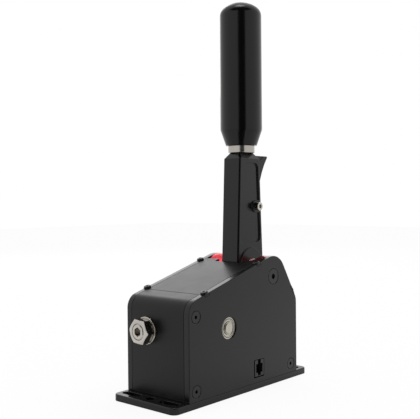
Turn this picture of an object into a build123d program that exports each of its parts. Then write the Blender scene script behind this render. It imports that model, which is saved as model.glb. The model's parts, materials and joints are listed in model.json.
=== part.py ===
from build123d import *
import math
import os

# Sequential gear shifter for a racing simulator, in millimetres, +Z up.
# The origin is the middle of the base plate's underside. The driver sits on the -X side and
# pulls or pushes the lever along X. Right means the driver's right, which is -Y.

# Clearances shared by all pieces
fit_gap = 0.02
running_gap = 0.05
panel_gap = 0.1
overrun = 1.0
quarter_turn = 90

# Base plate
base_length = 160.0
base_width = 63.0
base_thickness = 5.0
base_corner_radius = 5.0
base_edge_chamfer = 0.5
base_hole_inset = 8.0
base_flange_reach = 15.0
base_slot_y = 19.3
base_slot_width = 6.4
base_slot_length = 17.5
base_hole_diameter = 6.4

# Housing outline, seen from the side
plate_thickness = 5.0
plate_edge_chamfer = 0.4
front_corner_z = 74.1
front_corner_radius = 10.8
rear_corner_z = 65.0
rear_corner_radius = 12.0
crown_radius = 16.2

# Places of the turning axes
pivot_x = 33.6
pivot_z = 85.0
shaft_x = -21.4
shaft_z = 51.5
arm_drop = 28.0

# Front block and rear crossbar
block_depth = 14.8
block_lip = 1.7
block_lip_thickness = 3.5
bar_depth = 15.2
bar_top_z = 19.0
bar_chamfer = 0.6

# Covers
cover_thickness = 2.0
cover_rear_x = 19.5
cover_notch_x = 14.4
cover_notch_half_width = 13.0
tab_width = 5.0
rear_tab_width = 8.0
front_tab_inset = 18.9
rear_tab_x = 14.5
rear_cover_reach = 15.5
rear_tab_reach = 8.5
tab_screw_inset = 2.5
rear_cover_screw_y = 6.0
rear_cover_bend_radius = 10.0

# Screw sizes: thread, head and key of each kind
m3_radius = 1.5
m3_flat_head_radius = 2.8
m3_round_head_radius = 2.85
m3_round_head_height = 1.65
m3_key = 2.0
m4_radius = 2.0
m4_flat_head_radius = 4.2
m4_round_head_radius = 3.8
m4_round_head_height = 2.2
m4_key = 2.5
m5_radius = 2.5
m5_flat_head_radius = 5.0
m5_key = 3.0
m6_radius = 3.0
m6_flat_head_radius = 6.0
m6_key = 4.0
side_head_inset = 0.2
side_head_land = 0.5
key_depth_share = 0.62
round_head_fillet_share = 0.7
tab_screw_length = 8.0
side_screw_length = 12.0
base_screw_length = 16.0
pivot_screw_length = 18.0
bracket_screw_length = 10.0
board_screw_length = 3.6

# Side plate screws and base screws
front_screw_inset = 7.4
low_screw_z = 12.0
high_screw_z = 64.2
rear_screw_inset = 8.6
base_screw_y = 13.0

# Lever pivot, seen along the axle: hub, bearings, washers and drums
hub_radius = 18.0
hub_top_radius = 14.0
hub_top_rise = 8.4
hub_half_width = 10.0
hub_chamfer = 0.4
axle_radius = 6.0
axle_tap_depth = 14.0
pivot_bearing_radius = 12.0
pivot_bearing_width = 6.0
pivot_bearing_inner_y = 4.3
pivot_race_radius = 9.3
pivot_lip_radius = 7.8
pivot_inner_ring_radius = 7.6
shield_thickness = 0.3
shield_inset = 0.5
ring_groove_inset = 1.0
ring_groove_width = 0.4
ring_groove_depth = 0.3
washer_step_radius = 7.5
washer_step = 0.3
washer_radius = 13.0
washer_thickness = 0.8
drum_nose_radius = 12.6
drum_nose_length = 1.6
drum_rim_width = 5.0
drum_radius = 16.0
drum_edge_chamfer = 0.3
gate_radius = 10.0
gate_bore_radius = 10.4
gate_notch_depth = 1.5
gate_notch_half_angle = 26.0

# Lever
lever_half_width = 8.8
lever_top_z = 184.0
lever_top_half_depth = 12.55
lever_lean = 0.042
lever_front_chamfer = 1.15
lever_rear_chamfer = 0.4
lever_crown_inset = 3.5
lever_crown_height = 4.9
pocket_depth = 1.3
pocket_low_z = 111.3
pocket_high_z = 175.8
pocket_margin = 2.3
pocket_radius = 4.5
pocket_land_radius = 5.0
arm_half_width = 4.4
arm_radius = 7.0

# Knob and its collar
collar_radius = 10.75
collar_height = 6.0
collar_chamfer = 0.35
knob_foot_radius = 12.6
knob_radius = 17.0
knob_cone_height = 12.8
knob_shoulder_z = 295.3
knob_dome_height = 11.3
knob_dome_radius = 8.0
stud_radius = 5.0
stud_floor = 1.9
stud_high_z = 230.0

# Trigger and its screw
trigger_x = 41.5
trigger_z = 140.4
trigger_half_width = 4.0
slot_half_width = 4.3
trigger_hub_radius = 5.0
trigger_hub_clearance = 0.7
trigger_screw_head_radius = 3.5
trigger_screw_head_height = 4.2
trigger_screw_radius = 2.0
trigger_screw_tip_y = 8.0
trigger_screw_chamfer = 0.4
horn_tip_x = 63.9
horn_tip_radius = 0.8
horn_top_z = 182.2
horn_hook_x = 59.3
horn_hook_z = 175.4
horn_back_x = 55.8
horn_back_z = 168.6
horn_root_x = 53.2
horn_root_z = 161.9
horn_throat_x = 47.4
horn_throat_z = 155.0
horn_heel_x = 46.4
horn_front_x = 45.8
horn_front_z = 164.0
cheek_step_x = 38.0
cheek_top_z = 160.5
cheek_front_x = 29.4
cheek_low_z = 151.5
horn_bevel_front_x = 53.5
horn_bevel_low_z = 178.4
horn_bevel_rear_x = 58.0
horn_bevel_high_z = 181.9
horn_bevel_depth = 0.5
slot_floor_x = 40.1
slot_step_z = 164.0
slot_front_x = 25.6
slot_front_low_z = 148.5
slot_heel_x = 35.0
slot_heel_z = 139.6
trigger_spring_z = 172.0
trigger_spring_radius = 2.3
trigger_spring_wire = 0.6

# Lockout rod, which the trigger's slanted slots lift
rod_radius = 2.0
rod_tip_gap = 0.4
rod_top_drop = 5.0
rod_channel_half_width = 2.2
rod_pin_radius = 1.25
rod_pin_clearance = 0.2
rod_pin_end_gap = 0.15
rod_pin_rise = 15.0
cam_slot_angle = 60.0
cam_slot_travel = 4.4
rod_spring_radius = 1.9
rod_spring_wire = 0.6
rod_spring_length = 6.9
rod_spring_bore_radius = 2.3
rod_spring_end_gap = 0.1

# Cross shaft and its bearings
shaft_radius = 4.0
shaft_end_inset = 0.2
shaft_end_chamfer = 0.3
shaft_bearing_radius = 8.0
shaft_bearing_width = 5.0
shaft_bearing_recess = 1.0
shaft_bore_chamfer = 0.4
shaft_race_radius = 5.92
shaft_lip_radius = 4.95
shaft_inner_ring_radius = 4.7
spacer_radius = 4.6

# Crank on the cross shaft
crank_half_width = 4.4
crank_hub_radius = 9.0
crank_eye_radius = 6.0
crank_tail_z = 13.0
crank_tail_half_depth = 4.0
stop_arm_half_depth = 5.0
stop_arm_top_z = 73.0
magnet_radius = 2.0
magnet_length = 2.0
set_screw_radius = 1.5
set_screw_length = 4.0

# Link plates, their pins, bushes and clips
link_inner_y = 4.7
link_thickness = 3.0
link_eye_radius = 7.0
link_slot_half_length = 16.0
link_slot_radius = 2.5
pin_radius = 3.0
pin_end = 1.1
bush_radius = 4.0
clip_radius = 4.8
clip_groove_radius = 2.4
clip_thickness = 0.8
clip_side_gap = 0.1
clip_mouth_half_width = 1.6

# Detent cam and plunger
cam_inner_y = 6.3
cam_width = 8.0
cam_flat_distance = 8.0
cam_flat_half_width = 2.5
plunger_gap = 0.5
plunger_nose_radius = 3.0
plunger_nose_length = 6.0
plunger_body_length = 10.0

# Adjuster with lock nut and washer
adjuster_y = 10.3
adjuster_z = 51.5
adjuster_radius = 5.95
adjuster_outer_reach = 9.5
adjuster_inner_x = -34.0
adjuster_chamfer = 0.8
adjuster_key = 6.0
adjuster_key_depth = 6.0
adjuster_bore_radius = 4.0
adjuster_bore_depth = 28.0
flange_radius = 10.1
flange_thickness = 1.8
flange_chamfer = 0.3
nut_across_flats = 17.0
nut_height = 7.4
nut_face_radius = 7.9
nut_turn = 5.0
nut_chamfer_slope_share = 0.577
seat_thickness = 2.0
main_spring_radius = 3.6
main_spring_wire = 1.0

# Stop bracket and bump stops
bracket_low_z = 58.5
bracket_plate_low_z = 68.0
bracket_thickness = 4.0
bracket_half_width = 14.0
bracket_screw_y = 8.0
bracket_screw_z = 63.2
bracket_end_wall = 3.4
window_half_width = 5.4
bump_gap = 3.1
bump_thickness = 3.5
bump_half_width = 4.0

# Circuit board and what it carries
board_front_room = 10.2
board_rear_room = 17.8
board_right_room = 1.0
board_left_room = 14.0
board_thickness = 1.6
standoff_height = 3.1
standoff_radius = 3.0
standoff_inset = 4.0
sensor_spacing = 10.6
sensor_length = 4.0
sensor_width = 3.0
sensor_height = 1.2
chip_x = 5.0
chip_y = -6.0
chip_size = 7.0
chip_height = 1.0

# Data socket in the right side plate
socket_hole_front_x = 7.9
socket_hole_rear_x = 20.4
socket_hole_low_z = 8.9
socket_hole_high_z = 22.6
socket_hole_radius = 0.6
socket_front_x = 9.1
socket_rear_x = 20.2
socket_top_z = 22.2
socket_face_inset = 0.2
socket_length = 14.8
socket_depth = 12.0
jack_width = 8.0
jack_low_z = 12.3
jack_high_z = 19.2
jack_notch_width = 3.6
jack_notch_low_z = 10.2
contact_count = 4
contact_pitch = 1.02
contact_wire = 0.4
contact_ceiling_gap = 0.25
contact_front_inset = 5.0

# Derived values
STAND = (Align.CENTER, Align.CENTER, Align.MIN)
FRAMES = {"X": ((1, 0, 0), (0, 1, 0)), "Y": ((0, 1, 0), (0, 0, 1)), "Z": ((0, 0, 1), (1, 0, 0))}
rear_x = base_length / 2 - base_flange_reach
front_x = -rear_x
base_hole_x = base_length / 2 - base_hole_inset
outer_y = base_width / 2
inner_y = outer_y - plate_thickness
pivot = (pivot_x, pivot_z)
shaft = (shaft_x, shaft_z)
arm_eye = (pivot_x, pivot_z - arm_drop)
crank_eye = (shaft_x, shaft_z - arm_drop)
trigger_pivot = (trigger_x, trigger_z)
block_rear_x = front_x + block_depth
seam_x = block_rear_x + block_lip
bar_rear_x = rear_x - cover_thickness
bar_front_x = bar_rear_x - bar_depth
front_screw_x = front_x + front_screw_inset
rear_screw_x = rear_x - rear_screw_inset
front_tab_x = front_x + front_tab_inset
pivot_bearing_outer_y = pivot_bearing_inner_y + pivot_bearing_width
washer_outer_y = pivot_bearing_outer_y + washer_step + washer_thickness
shaft_bearing_outer_y = outer_y - shaft_bearing_recess
shaft_bearing_inner_y = shaft_bearing_outer_y - shaft_bearing_width
rod_top_z = slot_step_z - rod_top_drop
spring_bore_top = rod_top_z + rod_spring_length + 2 * rod_spring_end_gap
stud_low_z = spring_bore_top + stud_floor
flange_face_x = front_x - flange_thickness
nut_face_x = flange_face_x - nut_height
adjuster_outer_x = front_x - adjuster_outer_reach
adjuster_centre = (adjuster_y, adjuster_z)
bore_end_x = adjuster_inner_x - adjuster_bore_depth
plunger_tip_x = shaft_x - cam_flat_distance - plunger_gap
plunger_shoulder_x = plunger_tip_x - plunger_nose_length
plunger_back_x = plunger_shoulder_x - plunger_body_length
board_front_x = block_rear_x + board_front_room
board_rear_x = bar_front_x - board_rear_room
board_right_y = -inner_y + board_right_room
board_left_y = inner_y - board_left_room
board_low_z = base_thickness + standoff_height
board_top_z = board_low_z + board_thickness
rod_pin_z = trigger_z + rod_pin_rise
bracket_top_z = bracket_plate_low_z + bracket_thickness
bump_face = stop_arm_half_depth + bump_gap
window_half_length = bump_face + bump_thickness
link_outer_y = link_inner_y + link_thickness
clip_inner_y = link_outer_y + clip_side_gap
collar_top_z = lever_top_z + collar_height
socket_face_y = -outer_y + socket_face_inset


class Screw:
    """Sizes of one kind of screw."""

    def __init__(self, radius, head_radius, key, head_height=None, inset=0, land=0):
        self.radius = radius
        self.head_radius = head_radius
        self.key = key
        self.head_height = head_height or head_radius - radius
        self.inset = inset
        self.land = land


m3_flat = Screw(m3_radius, m3_flat_head_radius, m3_key)
m3_round = Screw(m3_radius, m3_round_head_radius, m3_key, m3_round_head_height)
m4_flat = Screw(m4_radius, m4_flat_head_radius, m4_key, inset=side_head_inset, land=side_head_land)
m4_round = Screw(m4_radius, m4_round_head_radius, m4_key, m4_round_head_height)
m5_flat = Screw(m5_radius, m5_flat_head_radius, m5_key)
m6_flat = Screw(m6_radius, m6_flat_head_radius, m6_key, inset=side_head_inset, land=side_head_land)


# General shapes

def block(x_span, y_span, z_span):
    """Box between two places on each axis."""
    spans = (x_span, y_span, z_span)
    sizes = [high - low for low, high in spans]
    middles = [(low + high) / 2 for low, high in spans]
    return Pos(*middles) * Box(*sizes)


def station(axis, centre, place):
    """Plane square to an axis, at a place on it, through a centre given by the other two."""
    point = list(centre)
    point.insert("XYZ".index(axis), place)
    z_dir, x_dir = FRAMES[axis]
    return Plane(origin=tuple(point), x_dir=x_dir, z_dir=z_dir)


def bar(axis, centre, span, radius):
    """Round bar along an axis."""
    low, high = span
    return station(axis, centre, low) * Cylinder(radius, high - low, align=STAND)


def taper(axis, centre, span, low_radius, high_radius):
    """Cone along an axis."""
    low, high = span
    return station(axis, centre, low) * Cone(low_radius, high_radius, high - low, align=STAND)


def ring(axis, centre, span, outer, inner):
    """Tube along an axis."""
    return bar(axis, centre, span, outer) - bar(axis, centre, span, inner)


def across(face, y_span):
    """Solid of a side-view face, drawn in X and Z, between two places on Y."""
    low, high = y_span
    return Pos(0, high, 0) * extrude(Plane.XZ * face, amount=high - low)


def outline(*corners):
    """Side-view face from corners of X, Z and radius."""
    points = [(x, z) for x, z, radius in corners]
    radii = [radius for x, z, radius in corners]
    return make_face(FilletPolyline(*points, radius=radii, close=True))


def bone(first, first_radius, second, second_radius):
    """Side-view face round two circles and their outer tangents."""
    start, end = Vector(*first), Vector(*second)
    along = (end - start).normalized()
    aside = Vector(-along.Y, along.X)
    lean = (first_radius - second_radius) / (end - start).length
    rise = math.sqrt(1 - lean ** 2)
    corners = []
    for centre, radius, sides in ((start, first_radius, (1, -1)), (end, second_radius, (-1, 1))):
        for side in sides:
            corners.append(centre + (along * lean + aside * (rise * side)) * radius)
    web = make_face(Polyline(*corners, close=True))
    return web + Pos(start) * Circle(first_radius) + Pos(end) * Circle(second_radius)


def both_sides(shape):
    """The shape and its mirror image on the other side of the middle plane."""
    return [shape, mirror(shape, about=Plane.XZ)]


def group(solids):
    """Several separate solids as one node."""
    return Compound(children=[solid for part in solids for solid in part.solids()])


def facing(point, direction):
    """Plane at a point that looks along a direction."""
    return Plane(origin=point, z_dir=direction)


def key_socket(key, depth):
    """Hexagonal recess, downwards from the origin."""
    return extrude(RegularPolygon(key / 2, 6, major_radius=False), amount=-depth)


def flat_screw(screw, length):
    """Countersunk screw below the origin, its face down by its inset and its tip at its length."""
    depth = screw.head_height + screw.land
    head = Pos(0, 0, -depth) * Cone(screw.radius, screw.head_radius + screw.land, depth, align=STAND)
    if screw.land > 0:
        head &= Pos(0, 0, -depth) * Cylinder(screw.head_radius, depth, align=STAND)
    reach = length - screw.inset
    shank = Pos(0, 0, -reach) * Cylinder(screw.radius, reach - depth, align=STAND)
    recess = key_socket(screw.key, screw.head_height * key_depth_share)
    return Pos(0, 0, -screw.inset) * (head + shank - recess)


def flat_hole(screw, length):
    """Countersunk hole that takes such a screw with a small gap."""
    room = screw.land + screw.inset
    depth = screw.head_height + room
    rim_radius = screw.head_radius + room + fit_gap
    cone = Pos(0, 0, -depth) * Cone(screw.radius + fit_gap, rim_radius, depth, align=STAND)
    mouth = Cylinder(rim_radius, overrun, align=STAND)
    drill = Pos(0, 0, -length - overrun) * Cylinder(screw.radius + fit_gap, length + overrun, align=STAND)
    return cone + mouth + drill


def round_screw(screw, length):
    """Button-head screw, its head above the origin and its shank below."""
    head = Cylinder(screw.head_radius, screw.head_height, align=STAND)
    head = fillet(head.edges().sort_by(Axis.Z)[-1], screw.head_height * round_head_fillet_share)
    shank = Pos(0, 0, -length) * Cylinder(screw.radius, length, align=STAND)
    recess = Pos(0, 0, screw.head_height) * key_socket(screw.key, screw.head_height * key_depth_share)
    return head + shank - recess


def drill_hole(screw, length):
    """Plain hole for a screw's shank, below the origin."""
    return Pos(0, 0, -length - fit_gap) * Cylinder(screw.radius + fit_gap, length + overrun, align=STAND)


# Housing outline and its two slopes

def tangent_angle(corner, side):
    """Angle of the line from a corner that touches the crown's arc round the pivot."""
    run = pivot_x - corner[0]
    rise = pivot_z - corner[1]
    lift = math.asin(crown_radius / math.hypot(run, rise))
    return math.atan2(rise, run) + side * lift


front_vertex = (front_x, front_corner_z)
rear_vertex = (rear_x, rear_corner_z)
front_angle = tangent_angle(front_vertex, 1)
rear_angle = tangent_angle(rear_vertex, -1)
front_dir = (math.cos(front_angle), math.sin(front_angle))
rear_dir = (math.cos(rear_angle), math.sin(rear_angle))
rear_normal = (rear_dir[1], -rear_dir[0])
slope = Plane(
    origin=(front_vertex[0], 0, front_vertex[1]),
    x_dir=(front_dir[0], 0, front_dir[1]),
    z_dir=(-front_dir[1], 0, front_dir[0]),
)
rear_slope = Plane(
    origin=(rear_vertex[0], 0, rear_vertex[1]),
    x_dir=(-rear_dir[0], 0, -rear_dir[1]),
    z_dir=(rear_normal[0], 0, rear_normal[1]),
)


def crown_vertex():
    """Corner where the two slopes would meet above the pivot."""
    front_rise = front_dir[1] / front_dir[0]
    rear_rise = rear_dir[1] / rear_dir[0]
    offset = rear_vertex[1] - front_vertex[1] + front_rise * front_vertex[0] - rear_rise * rear_vertex[0]
    x = offset / (front_rise - rear_rise)
    return x, front_vertex[1] + front_rise * (x - front_vertex[0])


def along_slope(x):
    """Distance along the front slope of a place on X."""
    return (x - front_x) / front_dir[0]


def house_face():
    """Outline of the housing from the base plate up."""
    crown_x, crown_z = crown_vertex()
    return outline(
        (front_x, base_thickness, 0),
        (front_x, front_corner_z, front_corner_radius),
        (crown_x, crown_z, crown_radius),
        (rear_x, rear_corner_z, rear_corner_radius),
        (rear_x, base_thickness, 0),
    )


def front_tab_planes():
    """Seats of the top cover's tab screws on the right."""
    screw_y = -outer_y + tab_screw_inset
    return [slope * Pos(along_slope(x), screw_y, 0) for x in (front_tab_x, rear_tab_x)]


def rear_tab_plane():
    """Seat of the rear cover's tab screw on the right."""
    return rear_slope * Pos(-rear_tab_reach, -outer_y + tab_screw_inset, 0)


def tab_slab(width, y_reach):
    """Slab of a cover's tab about its screw, from inside the housing out to a reach on Y."""
    inward = y_reach[1] - y_reach[0]
    middle = (y_reach[0] + y_reach[1]) / 2
    return Pos(0, middle, -cover_thickness / 2) * Box(width, inward, cover_thickness)


def tab_pocket(width):
    """Cutter of the pocket that takes a tab in a side plate's edge."""
    reach = plate_thickness - tab_screw_inset + overrun
    size = (width + 2 * panel_gap, 2 * reach, cover_thickness + overrun)
    return Pos(0, 0, (overrun - cover_thickness) / 2) * Box(*size)


# Base plate and housing

def base_screw_spots():
    return [(x, y) for x in (front_screw_x, rear_screw_x) for y in (-base_screw_y, base_screw_y)]


def base_plate():
    plate = extrude(RectangleRounded(base_length, base_width, base_corner_radius), amount=base_thickness)
    plate = chamfer(plate.edges().group_by(Axis.Z)[-1], base_edge_chamfer)
    deep = base_thickness + 2 * overrun
    slot = Pos(0, 0, -overrun) * extrude(
        SlotOverall(base_slot_length, base_slot_width, rotation=quarter_turn), amount=deep
    )
    hole = Pos(0, 0, -overrun) * Cylinder(base_hole_diameter / 2, deep, align=STAND)
    for x in (-base_hole_x, base_hole_x):
        plate -= Pos(x, 0, 0) * hole
        for y in (-base_slot_y, base_slot_y):
            plate -= Pos(x, y, 0) * slot
    for x, y in base_screw_spots():
        plate -= facing((x, y, 0), (0, 0, -1)) * flat_hole(m5_flat, base_thickness)
    return plate


def base_screws():
    screw = flat_screw(m5_flat, base_screw_length)
    return group([facing((x, y, 0), (0, 0, -1)) * screw for x, y in base_screw_spots()])


def side_screw_spots():
    return [(front_screw_x, low_screw_z), (front_screw_x, high_screw_z), (rear_screw_x, low_screw_z)]


def blank_side_plate():
    """Right side plate with all that both plates have."""
    plate = across(house_face(), (-outer_y, -inner_y))
    rim = plate.faces().sort_by(Axis.Y)[0].edges().sort_by(Axis.Z)[1:]
    plate = chamfer(rim, plate_edge_chamfer)
    for x, z in side_screw_spots():
        plate -= facing((x, -outer_y, z), (0, -1, 0)) * flat_hole(m4_flat, plate_thickness)
    plate -= facing((pivot_x, -outer_y, pivot_z), (0, -1, 0)) * flat_hole(m6_flat, plate_thickness)
    bore_radius = shaft_bearing_radius + fit_gap
    rim = (-outer_y, -outer_y + shaft_bore_chamfer)
    plate -= bar("Y", shaft, (-outer_y, -inner_y + overrun), bore_radius)
    plate -= taper("Y", shaft, rim, bore_radius + shaft_bore_chamfer, bore_radius)
    for seat in front_tab_planes():
        plate -= seat * tab_pocket(tab_width)
        plate -= seat * drill_hole(m3_round, tab_screw_length)
    plate -= rear_tab_plane() * tab_pocket(rear_tab_width)
    plate -= rear_tab_plane() * drill_hole(m3_flat, tab_screw_length)
    return plate


def side_plate_right():
    plate = blank_side_plate()
    hole = block(
        (socket_hole_front_x, socket_hole_rear_x),
        (-outer_y - overrun, -inner_y + overrun),
        (socket_hole_low_z, socket_hole_high_z),
    )
    return plate - fillet(hole.edges().filter_by(Axis.Y), socket_hole_radius)


def side_plate_left():
    return mirror(blank_side_plate(), about=Plane.XZ)


def side_plate_screws():
    screw = flat_screw(m4_flat, side_screw_length)
    right = [facing((x, -outer_y, z), (0, -1, 0)) * screw for x, z in side_screw_spots()]
    return group([each for one in right for each in both_sides(one)])


def side_screw_holes(spots):
    """Tapped holes for the side screws in a piece between the plates."""
    hole = drill_hole(m4_flat, side_screw_length)
    right = [facing((x, -outer_y, z), (0, -1, 0)) * hole for x, z in spots]
    return [each for one in right for each in both_sides(one)]


def front_block():
    half = inner_y - panel_gap
    body = across(house_face(), (-half, half))
    trunk = block((front_x - overrun, block_rear_x), (-outer_y, outer_y), (0, pivot_z + crown_radius))
    lip = slope * Pos(along_slope(seam_x) / 2, 0, -block_lip_thickness / 2) * Box(
        along_slope(seam_x), base_width, block_lip_thickness
    )
    body = body & (trunk + lip)
    adjuster_span = (front_x - overrun, block_rear_x + overrun)
    body -= bar("X", adjuster_centre, adjuster_span, adjuster_radius + running_gap)
    for hole in side_screw_holes(side_screw_spots()[:2]):
        body -= hole
    for x, y in base_screw_spots()[:2]:
        body -= facing((x, y, 0), (0, 0, -1)) * drill_hole(m5_flat, base_screw_length)
    for y in (-bracket_screw_y, bracket_screw_y):
        seat = facing((block_rear_x + bracket_thickness, y, bracket_screw_z), (1, 0, 0))
        body -= seat * drill_hole(m4_round, bracket_screw_length)
    return body


def rear_crossbar():
    half = inner_y - panel_gap
    body = block((bar_front_x, bar_rear_x), (-half, half), (base_thickness, bar_top_z))
    body = chamfer(body.edges().group_by(Axis.Z)[-1].filter_by(Axis.Y), bar_chamfer)
    for hole in side_screw_holes(side_screw_spots()[2:]):
        body -= hole
    for x, y in base_screw_spots()[2:]:
        body -= facing((x, y, 0), (0, 0, -1)) * drill_hole(m5_flat, base_screw_length)
    for y in (-rear_cover_screw_y, rear_cover_screw_y):
        body -= facing((rear_x, y, low_screw_z), (1, 0, 0)) * drill_hole(m3_flat, tab_screw_length)
    return body


def top_cover():
    half = inner_y - panel_gap
    start = along_slope(seam_x) + panel_gap
    notch_start = along_slope(cover_notch_x)
    end = along_slope(cover_rear_x)
    plate = block((start, end), (-half, half), (-cover_thickness, 0))
    plate -= block(
        (notch_start, end + overrun),
        (-cover_notch_half_width, cover_notch_half_width),
        (-cover_thickness - overrun, overrun),
    )
    cover = slope * plate
    reach = (-tab_screw_inset, plate_thickness)
    for seat in front_tab_planes():
        tab = seat * (tab_slab(tab_width, reach) - drill_hole(m3_round, tab_screw_length))
        for each in both_sides(tab):
            cover += each
    return cover


def top_cover_screws():
    screw = round_screw(m3_round, tab_screw_length)
    return group([each for seat in front_tab_planes() for each in both_sides(seat * screw)])


def rear_cover():
    half = inner_y - panel_gap
    end = (
        rear_vertex[0] + rear_dir[0] * rear_cover_reach,
        rear_vertex[1] + rear_dir[1] * rear_cover_reach,
    )
    inner_end = (end[0] - rear_normal[0] * cover_thickness, end[1] - rear_normal[1] * cover_thickness)
    inner_drop = cover_thickness * (1 - rear_dir[1]) / -rear_dir[0]
    face = outline(
        (rear_x, base_thickness, 0),
        (rear_x, rear_corner_z, rear_cover_bend_radius + cover_thickness),
        (end[0], end[1], 0),
        (inner_end[0], inner_end[1], 0),
        (rear_x - cover_thickness, rear_corner_z - inner_drop, rear_cover_bend_radius),
        (rear_x - cover_thickness, base_thickness, 0),
    )
    cover = across(face, (-half, half))
    tab = rear_tab_plane() * tab_slab(rear_tab_width, (-tab_screw_inset, plate_thickness))
    for each in both_sides(tab):
        cover += each
    for hole in both_sides(rear_tab_plane() * flat_hole(m3_flat, tab_screw_length)):
        cover -= hole
    for y in (-rear_cover_screw_y, rear_cover_screw_y):
        cover -= facing((rear_x, y, low_screw_z), (1, 0, 0)) * flat_hole(m3_flat, cover_thickness)
    return cover


def rear_cover_screws():
    screw = flat_screw(m3_flat, tab_screw_length)
    screws = both_sides(rear_tab_plane() * screw)
    for y in (-rear_cover_screw_y, rear_cover_screw_y):
        screws.append(facing((rear_x, y, low_screw_z), (1, 0, 0)) * screw)
    return group(screws)


# Bearings

def shielded_outer_ring(centre, y_span, radius, race_radius, lip_radius):
    """Outer ring of a ball bearing, grooved on its faces, with its two shields pressed in."""
    low, high = y_span
    body = ring("Y", centre, y_span, radius, race_radius)
    groove_radius = radius - ring_groove_inset
    for span in ((low, low + ring_groove_depth), (high - ring_groove_depth, high)):
        body -= ring("Y", centre, span, groove_radius, groove_radius - ring_groove_width)
    for start in (low + shield_inset, high - shield_inset - shield_thickness):
        body += ring("Y", centre, (start, start + shield_thickness), race_radius + fit_gap, lip_radius)
    return body


# Lever pivot

def pivot_axle():
    axle = bar("Y", pivot, (-inner_y, inner_y), axle_radius)
    tap = bar("Y", pivot, (-inner_y - overrun, -inner_y + axle_tap_depth), m6_radius + fit_gap)
    for each in both_sides(tap):
        axle -= each
    return axle


def pivot_screws():
    screw = facing((pivot_x, -outer_y, pivot_z), (0, -1, 0)) * flat_screw(m6_flat, pivot_screw_length)
    return group(both_sides(screw))


def pivot_drum_left():
    nose_y = washer_outer_y + drum_nose_length
    cone_y = inner_y - drum_rim_width
    drum = bar("Y", pivot, (washer_outer_y, nose_y), drum_nose_radius)
    drum += taper("Y", pivot, (nose_y, cone_y), drum_nose_radius, drum_radius)
    drum += bar("Y", pivot, (cone_y, inner_y), drum_radius)
    drum = chamfer(drum.edges().sort_by(Axis.Y)[0], drum_edge_chamfer)
    return drum - bar("Y", pivot, (0, outer_y), axle_radius + fit_gap)


def pivot_drum_right():
    return mirror(pivot_drum_left(), about=Plane.XZ)


def pivot_washers():
    step_y = pivot_bearing_outer_y + washer_step
    washer = bar("Y", pivot, (pivot_bearing_outer_y, step_y), washer_step_radius)
    washer += bar("Y", pivot, (step_y, washer_outer_y), washer_radius)
    washer -= bar("Y", pivot, (0, outer_y), axle_radius + fit_gap)
    return group(both_sides(washer))


def gate_ring():
    half = pivot_bearing_inner_y - panel_gap
    body = ring("Y", pivot, (-half, half), gate_radius, axle_radius + fit_gap)
    reach = gate_radius + overrun
    half_angle = math.radians(gate_notch_half_angle)
    corner = (reach * math.tan(half_angle), reach)
    wedge = make_face(Polyline((0, 0), corner, (-corner[0], corner[1]), close=True))
    notch = across(Pos(pivot_x, pivot_z) * wedge, (-half - overrun, half + overrun))
    return body - (notch - bar("Y", pivot, (-outer_y, outer_y), gate_radius - gate_notch_depth))


def pivot_bearing_inner_rings():
    span = (pivot_bearing_inner_y, pivot_bearing_outer_y)
    return group(both_sides(ring("Y", pivot, span, pivot_inner_ring_radius, axle_radius + fit_gap)))


def pivot_bearing_outer_rings():
    span = (pivot_bearing_inner_y, pivot_bearing_outer_y)
    outer = shielded_outer_ring(pivot, span, pivot_bearing_radius, pivot_race_radius, pivot_lip_radius)
    return group(both_sides(outer))


# Lever with knob and trigger

def lever_half_depth(z):
    """Half the lever's depth along X at a height."""
    return lever_top_half_depth + lever_lean * (lever_top_z - z)


def lever_section(z, inset):
    """Cross-section of the lever at a height, its corners cut at 45 degrees."""
    depth = lever_half_depth(z) - inset
    width = lever_half_width - inset
    points = []
    for sx, sy in ((1, -1), (1, 1), (-1, 1), (-1, -1)):
        corner = lever_rear_chamfer if sx > 0 else lever_front_chamfer
        near = (pivot_x + sx * depth, sy * (width - corner))
        side = (pivot_x + sx * (depth - corner), sy * width)
        points += [near, side] if sx == sy else [side, near]
    return Pos(0, 0, z) * make_face(Polyline(*points, close=True))


def lever_blank():
    """Lever with hub and lower arm, before its holes."""
    crown_z = lever_top_z - lever_crown_height
    body = loft([lever_section(pivot_z, 0), lever_section(crown_z, 0)], ruled=True)
    body += loft([lever_section(crown_z, 0), lever_section(lever_top_z, lever_crown_inset)], ruled=True)
    hub_face = bone(pivot, hub_radius, (pivot_x, pivot_z + hub_top_rise), hub_top_radius)
    hub = across(hub_face, (-hub_half_width, hub_half_width))
    body += chamfer(hub.faces().filter_by(Axis.Y).edges(), hub_chamfer)
    body += across(bone(pivot, arm_radius, arm_eye, arm_radius), (-arm_half_width, arm_half_width))
    return body


def pocket_face():
    """Outline of the side pocket, which leaves a land round the trigger screw."""
    low = lever_half_depth(pocket_low_z) - pocket_margin
    high = lever_half_depth(pocket_high_z) - pocket_margin
    face = outline(
        (pivot_x - low, pocket_low_z, pocket_radius),
        (pivot_x - high, pocket_high_z, pocket_radius),
        (pivot_x + high, pocket_high_z, pocket_radius),
        (pivot_x + low, pocket_low_z, pocket_radius),
    )
    land = bone(trigger_pivot, pocket_land_radius, (trigger_x + low, trigger_z), pocket_land_radius)
    return face - land


def lever_body():
    body = lever_blank()
    pocket = across(pocket_face(), (-lever_half_width - overrun, -lever_half_width + pocket_depth))
    for each in both_sides(pocket):
        body -= each
    for each in lever_cuts():
        body -= each
    return body


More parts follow.
